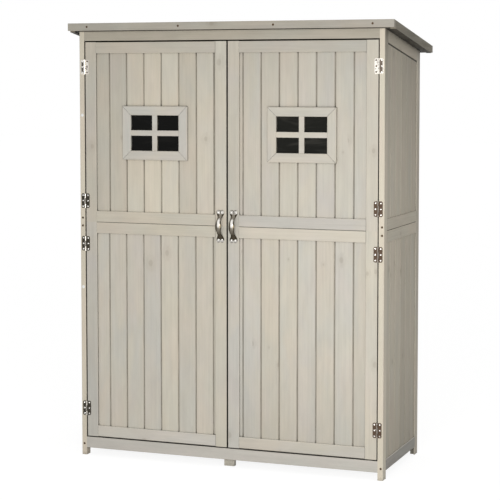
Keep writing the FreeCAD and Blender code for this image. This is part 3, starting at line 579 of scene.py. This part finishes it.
def nickel():
    """Nickel with painted reflections: a dark base, a painted highlight on the crown of the grip, painted shade on
    the lower grip and neck, bright feet, a dark hollow in the top foot, and dark edges and foot ends as painted
    dark reflections.
    """
    shader = Shader("nickel_finish")
    along, across, _ = shader.parts(shader.attribute("grain_place"))
    spots = shader.pattern((80.0, 220.0, 220.0), 3.0, 0.6, 0.5)
    lines = shader.pattern((60.0, 4000.0, 4000.0), 2.0, 0.6)
    wander = shader.spread(spots, 0.2, 0.8, -HIGHLIGHT_WANDER, HIGHLIGHT_WANDER)
    off_line = shader.math("ABSOLUTE", shader.math("SUBTRACT", across, BRIGHT_LINE))
    side = shader.math("ADD", off_line, wander)

    colour = shader.mix(shader.spread(along, *SHADED_GRIP, 1.0, 0.0), DARK_REFLECTING_NICKEL, NICKEL_IN_SHADE)
    crown_along = shader.math("DIVIDE", shader.math("SUBTRACT", along, CROWN_MIDDLE), CROWN_LENGTH)
    crown_across = shader.math("DIVIDE", side, CROWN_WIDTH)
    off_crown = shader.vector("LENGTH", shader.join(crown_along, crown_across, 0.0))
    # painted highlight on the crown of the grip
    colour = shader.mix(shader.spread(off_crown, 0.55, 1.15, 1.0, 0.0), colour, BRIGHT_NICKEL)

    top_foot = shader.spread(along, *TOP_FOOT)
    foot = shader.math("ADD", top_foot, shader.spread(along, *LOW_FOOT, 1.0, 0.0))
    colour = shader.mix(shader.math("MULTIPLY", foot, 0.60), colour, BRIGHT_NICKEL)
    hollow = shader.math("MULTIPLY", top_foot, shader.spread(side, *HOLLOW_WIDTH, 0.75, 0.0))
    colour = shader.mix(hollow, colour, DARK_EDGE_NICKEL)

    # painted dark reflections at the grip's edges and the ends of the feet
    tip = shader.spread(shader.math("ABSOLUTE", along), *TIPS, 0.0, 0.8)
    edge = shader.spread(shader.math("MULTIPLY_ADD", foot, -FOOT_SPARED, side), *DARK_EDGES)
    colour = shader.mix(shader.math("MAXIMUM", edge, tip), colour, DARK_EDGE_NICKEL)
    return shader.finish(
        Base_Color=colour,
        Metallic=1.0,
        Roughness=shader.spread(lines, *NARROW, 0.16, 0.30),
        Normal=shader.bump(lines, 0.08, 0.0002),
    )


# The finish of each node, by its own name, its wall or its material slot
BRIGHT_PLATE = (0.78, 0.74, 0.67)
# the hinges' dark colour, a painted dark reflection
PLATE_DARK_REFLECTION = (0.030, 0.024, 0.012)
PALE_ZINC = (0.66, 0.66, 0.64)
DULL_ZINC = (0.30, 0.29, 0.27)
CATCH_GREY = (0.62, 0.61, 0.57)
DOOR_BOARDS = stained_wood("door_board_finish", GROOVE_STAIN, 0.50, light=0.98)
SIDE_BOARDS = stained_wood(
    "side_board_finish", GROOVE_STAIN, 0.22, light=0.97, sheen=0.15, roof_shade=0.16
)
MEMBERS = stained_wood("stained_member_finish", BARE_EDGE_AND_HIGHLIGHT, 0.40)
SIDE_MEMBERS = stained_wood("side_member_finish", BARE_EDGE_AND_HIGHLIGHT, 0.12, light=1.03, sheen=0.2)
TRIM = stained_wood("roof_trim_finish", BARE_EDGE_AND_HIGHLIGHT, 0.25, light=0.70)
VERGES = stained_wood("verge_finish", BARE_EDGE_AND_HIGHLIGHT, 0.20, light=0.47, sheen=0.05)
INSIDE = stained_wood("inner_wood_finish", BARE_EDGE_AND_HIGHLIGHT, 0.30, light=0.90, knot_share=0.6)
# near-black painted shade on the roof's boards and bearers, seen from below
SHADE_UNDER_ROOF = stained_wood("painted_shade_under_roof_finish", GROOVE_STAIN, 0.30, light=0.10, sheen=0.05)
FINISH_BY_SLOT = {
    "stained_frame": MEMBERS,
    "stained_boards": DOOR_BOARDS,
    "roof_trim": TRIM,
    "inner_wood": INSIDE,
    "roofing_felt": roofing_felt(),
    "window_pane": window_pane(),
    "hinge_steel": plated_steel("hinge_finish", BRIGHT_PLATE, PLATE_DARK_REFLECTION, 0.26),
    "strike_steel": plated_steel("zinc_finish", PALE_ZINC, DULL_ZINC, 0.28),
    "handle_steel": nickel(),
    "catch_plastic": moulded_plastic("catch_finish", CATCH_GREY),
}
FINISH_BY_NODE = {
    "header_rail": TRIM,
    "verge_boards": VERGES,
    "roof_boards": SHADE_UNDER_ROOF,
    "roof_bearers": SHADE_UNDER_ROOF,
}

# How warm a node's stain is, and how far its pieces differ
WARMTH_BY_NODE = {
    "header_rail": (0.95, 0.10),
    "front_fascia": (0.55, 0.10),
    "verge_boards": (1.10, 0.10),
    "left_window_casing": (0.15, 0.35),
    "right_window_casing": (0.45, 0.30),
    "left_window_muntins": (0.15, 0.20),
    "right_window_muntins": (0.40, 0.20),
}
STILE_WARMTH = (0.62, 0.30)
SIDE_WARMTH = (1.00, 0.20)
USUAL_WARMTH = (0.48, 0.50)

# Warmth and lightness of the pieces that stand out
FRONT_STILE = (1.20, 1.6)
FRONT_LEG = (1.10, 1.2)
BACK_STILE = (0.80, -0.8)
BACK_LEG = (0.70, -0.8)
LOW_SIDE_RAIL = (-0.10, -5.0)
PIECE_TONES = {
    "front_bottom_rail": {"every": (-0.40, -0.2)},
    "left_door_upper_rails": {"highest": (0.60, -1.2), "lowest": (0.85, -0.3)},
    "left_door_lower_rails": {"highest": (0.85, -0.3), "lowest": (0.05, 1.0)},
    "left_door_upper_stiles": {"leftmost": (0.60, -0.7)},
    "left_door_lower_stiles": {"leftmost": (0.20, -0.6)},
    "left_window_pane": {"every": (0.50, 0.1)},
    "right_door_upper_rails": {"highest": (0.45, -1.8), "lowest": (0.05, -0.4)},
    "right_door_lower_rails": {"lowest": (0.30, -0.3)},
    "right_door_upper_stiles": {"leftmost": (0.50, -0.6)},
    "right_door_lower_stiles": {"leftmost": (0.15, 0.0)},
    "right_window_pane": {"every": (0.50, 1.0)},
    "right_window_casing": {"every": (0.45, 0.2)},
}
for side in SIDES:
    PIECE_TONES[f"{side}_side_upper_stiles"] = {"front": FRONT_STILE, "back": BACK_STILE}
    PIECE_TONES[f"{side}_side_lower_stiles"] = {"front": FRONT_LEG, "back": BACK_LEG}
    PIECE_TONES[f"{side}_side_lower_rails"] = {"lowest": LOW_SIDE_RAIL}
PLACES = {                   # the axis that orders the pieces, and which of them is meant
    "leftmost": (X, 0),
    "front": (Y, 0),
    "back": (Y, -1),
    "lowest": (Z, 0),
    "highest": (Z, -1),
}
LEFT_UPPER_BOARDS = (        # from the left edge of the door to its meeting edge
    (0.75, -0.5),
    (0.75, -0.5),
    (0.85, 1.2),
    (0.90, 1.8),
    (0.90, 1.8),
    (0.80, -0.3),
    (0.70, 1.0),
)

# Painted light and shade on single faces, as steps of lightness
SHADED_UNDERSIDE = -4.5        # painted shade on faces of the verge boards that look down
LIT_TOP_EDGE = 3.0          # painted light on the upper edges of the rails
SHADED_MEETING_EDGE = -6.0     # painted shade on edges where the doors meet
FRONT_STILE_LIT = 1.2      # painted light, added on the outer faces of the front stiles
FRONT_BOARDS_LIT = 1.9     # painted light, added on the boards of a side wall's front half

# Painted shade and darkening, on the scale of the darkening attribute
SHADE_UNDER_HEADER = 0.13          # painted shade at the top of the doors' boards
SHADE_UNDER_VERGE = 0.29           # painted shade at the top of a side wall's front stiles
NEAR_GROUND = 0.15           # darker towards the foot of the right door's boards
SIDE_SHADE_NEAR_GROUND = 0.20      # painted shade at the foot of a side wall's boards
LIP_SHADOW_WIDTH = 0.0070            # width of the painted shadow line under a side wall's top rail
SAME_PLACE = 0.0005          # corners nearer than this lie on the same edge

# Hinges and handles
PIN_LINES = {joint["child"]: joint["pos_m"][0] for joint in frame["joints"]}
TOP_HINGES_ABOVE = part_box("left_door_upper_boards")[1].z - 0.15
BARREL_RADIUS = 0.0034
# shares of painted dark reflection on the top post leaves and on the lower hinges' barrels
TOP_LEAF_DARKENED = 0.4
BARREL_DARKENED = {"left": 0.75, "right": 0.85}
WELD_REACH = 0.00001
CUT_EDGE = 0.0004            # how far a pressed piece's edges are rounded
CUT_EDGE_STEPS = 2
SHARP_ANGLE = math.radians(35)


def warmth_of(node):
    """How warm a node's stain is, and how far its pieces differ."""
    if node in WARMTH_BY_NODE:
        return WARMTH_BY_NODE[node]
    if "_side_" in node:
        return SIDE_WARMTH
    if node.endswith("_stiles"):
        return STILE_WARMTH
    return USUAL_WARMTH


def slot_of(node):
    """The record's material slot of a node."""
    parts = frame["record"]["subparts"]
    return next(part["material_slot"] for part in parts if part["node"] == node)


def finish_of(node):
    if node in FINISH_BY_NODE:
        return FINISH_BY_NODE[node]
    if "_side_" in node:
        return SIDE_BOARDS if node.endswith("_boards") else SIDE_MEMBERS
    return FINISH_BY_SLOT[slot_of(node)]


def soften(piece):
    """Shades a pressed piece smoothly and rounds its cut edges a little."""
    mesh = piece.data
    mesh.attributes.remove(mesh.attributes["custom_normal"])
    mesh.polygons.foreach_set("use_smooth", [True] * len(mesh.polygons))
    for edge in mesh.edges:
        edge.use_edge_sharp = False
    piece.modifiers.new("join", "WELD").merge_threshold = WELD_REACH
    rounding = piece.modifiers.new("rounding", "BEVEL")
    rounding.width = CUT_EDGE
    rounding.segments = CUT_EDGE_STEPS
    rounding.limit_method = "ANGLE"
    rounding.angle_limit = SHARP_ANGLE
    rounding.harden_normals = True


def dress_nodes():
    """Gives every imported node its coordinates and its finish."""
    for name, node in NODES.items():
        write_grain(name, node.data, *warmth_of(name))
        node.data.materials.clear()
        node.data.materials.append(finish_of(name))
    for side in SIDES:
        soften(NODES[f"{side}_door_handle"])


def ordered_pieces(node, axis):
    """The faces of each piece of a node, in the order of the pieces' middles along an axis."""
    mesh = NODES[node].data

    def middle(faces):
        low, high = extent(mesh, faces)
        return low[axis] + high[axis]

    return sorted(pieces_of(node, mesh), key=middle)


def tint(node, faces, warmth, lightness):
    tone = NODES[node].data.attributes["piece_tone"].data
    for face in faces:
        tone[face.index].vector.x = warmth
        tone[face.index].vector.y = lightness


def tint_pieces():
    """Gives the pieces that stand out their own warmth and lightness."""
    for node, tones in PIECE_TONES.items():
        for place, tone in tones.items():
            if place == "every":
                tint(node, NODES[node].data.polygons, *tone)
            else:
                axis, number = PLACES[place]
                tint(node, ordered_pieces(node, axis)[number], *tone)
    boards = "left_door_upper_boards"
    for faces, tone in zip(ordered_pieces(boards, X), LEFT_UPPER_BOARDS):
        tint(boards, faces, *tone)


def tint_faces(node, wanted, lightness):
    """Gives the wanted faces of a node their own lightness."""
    mesh = NODES[node].data
    tone = mesh.attributes["piece_tone"].data
    for face in filter(wanted, mesh.polygons):
        tone[face.index].vector.y = lightness


def pale_faces(node, wanted, added):
    """Adds to the lightness of the wanted faces of a node."""
    mesh = NODES[node].data
    tone = mesh.attributes["piece_tone"].data
    for face in filter(wanted, mesh.polygons):
        tone[face.index].vector.y += added


def tint_edges():
    """Paints shade on the roof rim's underside and the doors' meeting edges, and paints light on the rails' tops.
    """
    tint_faces("verge_boards", lambda face: face.normal.z < -0.5, SHADED_UNDERSIDE)
    for side, outward in SIDES.items():
        for panel in ("side_lower", "door_lower", "door_upper"):
            tint_faces(f"{side}_{panel}_rails", lambda face: face.normal.z > 0.5, LIT_TOP_EDGE)
        for panel in ("upper", "lower"):
            stiles = f"{side}_door_{panel}_stiles"
            tint_faces(stiles, lambda face: face.normal.x * outward < -0.9, SHADED_MEETING_EDGE)


def spread_darkening(node, at_foot, at_top, wanted=lambda face: True):
    """Stores darkening on the wanted faces of a node, evenly from its foot to its top."""
    mesh = NODES[node].data
    darkening = mesh.attributes.new("darkening", "FLOAT", "POINT").data
    heights = [vertex.co.z for vertex in mesh.vertices]
    foot, top = min(heights), max(heights)
    for face in filter(wanted, mesh.polygons):
        for number in face.vertices:
            share = (heights[number] - foot) / (top - foot)
            darkening[number].value = at_foot + share * (at_top - at_foot)


def shade_doors():
    """Paints shade on the doors' boards towards the roof, and darkens the right one's towards the ground."""
    for side in SIDES:
        spread_darkening(f"{side}_door_upper_boards", 0.0, SHADE_UNDER_HEADER)
    spread_darkening("right_door_lower_boards", NEAR_GROUND, 0.0)


def shade_side(side, outward):
    """Paints light on the front of a side wall, painted shade on its front stile towards the roof, and painted
    shade at the foot of its lower boards.
    """

    def outer(face):
        return face.normal.x * outward > 0.5

    def outer_front(face):
        return outer(face) and face.center.y < 0.0

    for panel in ("upper", "lower"):
        pale_faces(f"{side}_side_{panel}_stiles", outer_front, FRONT_STILE_LIT)
        pale_faces(f"{side}_side_{panel}_boards", outer_front, FRONT_BOARDS_LIT)
    spread_darkening(f"{side}_side_upper_stiles", 0.0, SHADE_UNDER_VERGE, outer_front)
    spread_darkening(f"{side}_side_lower_boards", SIDE_SHADE_NEAR_GROUND, 0.0, outer)


def lower_edge(rail):
    """The front end of a sloping rail's lower outer edge, and the edge's rise for each metre."""
    mesh = NODES[rail].data
    top_rail = ordered_pieces(rail, Z)[-1]
    places = [mesh.vertices[number].co for face in top_rail for number in face.vertices]
    outer = max(abs(place.x) for place in places)
    places = [place for place in places if abs(place.x) > outer - SAME_PLACE]
    ends = []
    for end in (min(place.y for place in places), max(place.y for place in places)):
        lowest = min(place.z for place in places if abs(place.y - end) < SAME_PLACE)
        ends.append((end, lowest))
    (front_y, front_z), (back_y, back_z) = ends
    return front_y, front_z, (back_z - front_z) / (back_y - front_y)


def draw_lip_shadow(side):
    """Stores a painted shadow line on a side wall's boards, right under the sloping edge of the top rail."""
    front_y, front_z, slope = lower_edge(f"{side}_side_upper_rails")
    mesh = NODES[f"{side}_side_upper_boards"].data
    darkening = mesh.attributes.new("darkening", "FLOAT", "POINT").data
    for vertex in mesh.vertices:
        edge_z = front_z + slope * (vertex.co.y - front_y)
        darkening[vertex.index].value = 1.0 - (edge_z - vertex.co.z) / LIP_SHADOW_WIDTH


def tarnish_and_dark_reflection(node):
    """Darkens the lower hinges and the middle of the top post leaves with painted dark reflection, more redly on
    the right.
    """
    mesh = NODES[node].data
    tone = mesh.attributes["piece_tone"].data
    for face in mesh.polygons:
        side = "left" if face.center.x < 0 else "right"
        on_barrel = abs(face.center.x - PIN_LINES[f"{side}_door"]) < BARREL_RADIUS
        if face.center.z < TOP_HINGES_ABOVE:
            share = BARREL_DARKENED[side] if on_barrel else 1.0
        else:
            on_post_leaf = node == "post_hinge_leaves" and not on_barrel
            share = TOP_LEAF_DARKENED if on_post_leaf else 0.0
        tone[face.index].vector.x = share
        tone[face.index].vector.y = 1.0 if side == "right" else 0.0


# Camera, light and floor
def make_camera():
    data = bpy.data.cameras.new("camera")
    data.sensor_width = SENSOR_WIDTH
    data.lens = FOCAL_PIXELS / IMAGE_WIDTH * SENSOR_WIDTH
    data.shift_y = CAMERA_SHIFT
    camera = bpy.data.objects.new("camera", data)
    camera.location = CAMERA_PLACE
    camera.rotation_euler = (math.pi / 2 - CAMERA_DIP, 0.0, CAMERA_TURN)
    bpy.context.scene.collection.objects.link(camera)
    bpy.context.scene.camera = camera


def seen_directly(tree):
    """1 for what the camera sees, straight or through glass and in mirrors, and 0 for light."""
    path = tree.nodes.new("ShaderNodeLightPath")
    total = path.outputs["Is Camera Ray"]
    for name in ("Is Glossy Ray", "Is Transmission Ray"):
        adder = tree.nodes.new("ShaderNodeMath")
        adder.operation = "ADD"
        adder.use_clamp = True
        tree.links.new(total, adder.inputs[0])
        tree.links.new(path.outputs[name], adder.inputs[1])
        total = adder.outputs[0]
    return total


def make_room():
    """A pale room: white where it is seen, and softer as light."""
    world = bpy.data.worlds.new("room")
    bpy.context.scene.world = world
    world.use_nodes = True
    tree = world.node_tree
    background = tree.nodes["Background"]
    strength = tree.nodes.new("ShaderNodeMapRange")
    strength.inputs["To Min"].default_value = ROOM_LIGHT
    tree.links.new(seen_directly(tree), strength.inputs["Value"])
    tree.links.new(strength.outputs["Result"], background.inputs["Strength"])
    background.inputs["Color"].default_value = (1.0, 1.0, 1.0, 1.0)


def floor_finish():
    """Pale grey that glows a little where it is seen, so that it looks white."""
    shader = Shader("floor_finish")
    glow = shader.add("ShaderNodeEmission")
    shader.feed(glow, {"Color": (1.0, 1.0, 1.0), "Strength": FLOOR_GLOW_LEVEL})
    share = shader.math("MULTIPLY", seen_directly(shader.tree), FLOOR_GLOW)
    blend = shader.add("ShaderNodeMixShader")
    shader.feed(blend, {0: share, 1: shader.body.outputs[0], 2: glow.outputs[0]})
    shader.feed(shader.output, {"Surface": blend.outputs[0]})
    return shader.finish(Base_Color=(FLOOR_GREY, FLOOR_GREY, FLOOR_GREY), Roughness=0.9)


def make_floor():
    """A white floor that keeps a soft shadow."""
    mesh = bpy.data.meshes.new("floor")
    build = bmesh.new()
    bmesh.ops.create_grid(
        build, x_segments=FLOOR_SQUARES, y_segments=FLOOR_SQUARES, size=FLOOR_HALF
    )
    build.to_mesh(mesh)
    build.free()
    mesh.materials.append(floor_finish())
    floor = bpy.data.objects.new("floor", mesh)
    bpy.context.scene.collection.objects.link(floor)


def make_key_light():
    """One large soft light in front, a little to the right."""
    data = bpy.data.lights.new("key", "AREA")
    data.shape = "SQUARE"
    data.size = KEY_SIZE
    data.energy = KEY_POWER
    light = bpy.data.objects.new("key", data)
    light.location = KEY_PLACE
    aim = Vector(KEY_AIM) - Vector(KEY_PLACE)
    light.rotation_euler = aim.to_track_quat("-Z", "Y").to_euler()
    bpy.context.scene.collection.objects.link(light)


# Small fasteners
FRONT = (0.0, -1.0, 0.0)
DOOR_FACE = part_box("left_door_upper_stiles")[0].y
HEAD_RINGS = 7
HEAD_SPOKES = 24
HEAD_RISE = 0.0009
HEAD_CURVE = 3               # a higher power gives a flatter head with a rounder rim
CROSS_WIDTH = 0.45           # of the cross in a head, as a share of the radius
CROSS_REACH = 0.65
MERGE_REACH = 1e-7
FASCIA_SCREWS = 4
FASCIA_SCREW_INSET = 0.079
FASCIA_SCREW_RADIUS = 0.0040
POST_SCREW_INSET = {"left": 0.010, "right": 0.008}
POST_SCREW_RADIUS = 0.0042
PANEL_SCREW_OFFSET = 0.015   # above and below the joint of the panels
RAIL_SCREW_DROP = 0.006      # under the middle of the bottom rail
HINGE_SCREW_RADIUS = 0.0031
HINGE_SCREW_AWAY = 0.0100    # from the pin
HINGE_SCREW_STEPS = (-0.021, 0.0, 0.021)
HINGE_SHEET = 0.0013
HINGE_REACH = 0.03           # from the pin to farther than a leaf's middle
HANDLE_SCREW_RADIUS = 0.0033
HANDLE_SCREW_ACROSS = 0.0075
HANDLE_SCREW_INSET = 0.010   # from the end of a foot
HANDLE_FOOT = 0.0024         # height of a foot's face over the door
CAP_RADIUS = 0.006
CAP_RISE = 0.0012
CAP_INSET = 0.0098
CAP_HEIGHTS = (0.649, 1.304)


def domed_disc(build, place, out, radius, rise, cross_width=0.0, turn=0.0):
    """A low dome standing on a face, with a cross cut in it where cross_width isn't 0."""
    out = Vector(out).normalized()
    side = Matrix.Rotation(turn, 3, out) @ out.orthogonal().normalized()
    up = out.cross(side)
    rows = []
    for ring in range(HEAD_RINGS + 1):
        share = ring / HEAD_RINGS
        row = []
        for spoke in range(HEAD_SPOKES):
            angle = math.tau * spoke / HEAD_SPOKES
            across = share * radius * math.cos(angle)
            along = share * radius * math.sin(angle)
            height = rise * (1.0 - share**HEAD_CURVE)
            in_cross = min(abs(across), abs(along)) < cross_width / 2
            if in_cross and share < CROSS_REACH:
                height -= rise * (1.0 - share)
            row.append(build.verts.new(Vector(place) + side * across + up * along + out * height))
        rows.append(row)
    for inner, outer in zip(rows, rows[1:]):
        for spoke in range(HEAD_SPOKES):
            following = (spoke + 1) % HEAD_SPOKES
            build.faces.new((inner[spoke], outer[spoke], outer[following], inner[following]))
    bmesh.ops.remove_doubles(build, verts=rows[0], dist=MERGE_REACH)


def fastener_piece(name, body, spots, finish):
    """One piece made of all the fasteners of a kind on a body."""
    build = bmesh.new()
    for number, spot in enumerate(spots):
        turn = random.Random(f"{name} {number}").uniform(0, math.pi)
        domed_disc(build, turn=turn, **spot)
    bmesh.ops.recalc_face_normals(build, faces=build.faces)
    mesh = bpy.data.meshes.new(name)
    build.to_mesh(mesh)
    build.free()
    mesh.polygons.foreach_set("use_smooth", [True] * len(mesh.polygons))
    mesh.materials.append(finish)
    piece = bpy.data.objects.new(name, mesh)
    bpy.context.scene.collection.objects.link(piece)
    write_grain(name, mesh, 0.0, 0.0)
    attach(piece, body)


def screw(x, y, z, radius):
    """The measures of a cross-headed screw in a face that looks to the front."""
    return {
        "place": (x, y, z),
        "out": FRONT,
        "radius": radius,
        "rise": HEAD_RISE,
        "cross_width": radius * CROSS_WIDTH,
    }


def fascia_screws():
    low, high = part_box("front_fascia")
    spacing = (high.x - low.x - 2 * FASCIA_SCREW_INSET) / (FASCIA_SCREWS - 1)
    first = low.x + FASCIA_SCREW_INSET
    height = (low.z + high.z) / 2
    return [
        screw(first + spacing * step, low.y, height, FASCIA_SCREW_RADIUS)
        for step in range(FASCIA_SCREWS)
    ]


def post_screws():
    """Screws that hold the bottom rail and both side panels, through the front posts."""
    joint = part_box("left_side_upper_stiles")[0].z
    rail_low, rail_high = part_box("front_bottom_rail")
    heights = (
        joint + PANEL_SCREW_OFFSET,
        joint - PANEL_SCREW_OFFSET,
        (rail_low.z + rail_high.z) / 2 - RAIL_SCREW_DROP,
    )
    spots = []
    for side, outward in SIDES.items():
        low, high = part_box(f"{side}_side_lower_stiles")
        edge = high.x if outward > 0 else low.x
        middle = edge - outward * POST_SCREW_INSET[side]
        spots += [screw(middle, low.y, height, POST_SCREW_RADIUS) for height in heights]
    return spots


def hinge_screws(node, door):
    """Three screws in each leaf of a node that turns about a door's pin line."""
    pin_x = PIN_LINES[door]
    face_y = DOOR_FACE - HINGE_SHEET
    spots = []
    for low, high in piece_boxes(node):
        middle = (low + high) / 2
        if abs(middle.x - pin_x) < HINGE_REACH:
            place_x = pin_x + math.copysign(HINGE_SCREW_AWAY, middle.x - pin_x)
            for step in HINGE_SCREW_STEPS:
                spots.append(screw(place_x, face_y, middle.z + step, HINGE_SCREW_RADIUS))
    return spots


def handle_screws(side):
    low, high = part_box(f"{side}_door_handle")
    middle = (low + high) / 2
    away = (high.z - low.z) / 2 - HANDLE_SCREW_INSET
    face_y = DOOR_FACE - HANDLE_FOOT
    return [
        screw(middle.x + across, face_y, middle.z + along, HANDLE_SCREW_RADIUS)
        for across in (-HANDLE_SCREW_ACROSS, HANDLE_SCREW_ACROSS)
        for along in (-away, away)
    ]


def cap_discs():
    """Two white caps over screws in the left post."""
    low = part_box("left_side_lower_stiles")[0]
    middle = low.x + CAP_INSET
    size = {"out": FRONT, "radius": CAP_RADIUS, "rise": CAP_RISE}
    return [{"place": (middle, low.y, height), **size} for height in CAP_HEIGHTS]


def add_fasteners():
    steel = plated_steel("screw_finish", (0.80, 0.78, 0.74), (0.20, 0.16, 0.12), 0.22)
    aged = plated_steel("aged_screw_finish", (0.080, 0.050, 0.028), (0.035, 0.022, 0.012), 0.45)
    white = moulded_plastic("cap_finish", (0.86, 0.86, 0.84))
    fastener_piece("roof_screws", "carcass", fascia_screws(), aged)
    fastener_piece("post_screws", "carcass", post_screws(), aged)
    fastener_piece("post_screw_caps", "carcass", cap_discs(), white)
    post_leaf_screws = []
    for side in SIDES:
        door = f"{side}_door"
        post_leaf_screws += hinge_screws("post_hinge_leaves", door)
        leaf_screws = hinge_screws(f"{door}_hinge_leaves", door)
        high = [spot for spot in leaf_screws if spot["place"][2] > TOP_HINGES_ABOVE]
        low = [spot for spot in leaf_screws if spot["place"][2] < TOP_HINGES_ABOVE]
        fastener_piece(f"{door}_top_hinge_screws", door, high, aged)
        fastener_piece(f"{door}_hinge_screws", door, low, steel)
        fastener_piece(f"{door}_handle_screws", door, handle_screws(side), steel)
    fastener_piece("post_hinge_screws", "carcass", post_leaf_screws, steel)


bpy.context.scene.view_settings.view_transform = "Standard"
make_camera()
make_room()
make_floor()
make_key_light()
dress_nodes()
tint_pieces()
tint_edges()
shade_doors()
for side, outward in SIDES.items():
    draw_lip_shadow(side)
    shade_side(side, outward)
    tarnish_and_dark_reflection(f"{side}_door_hinge_leaves")
tarnish_and_dark_reflection("post_hinge_leaves")
tarnish_and_dark_reflection("hinge_pins")
add_fasteners()
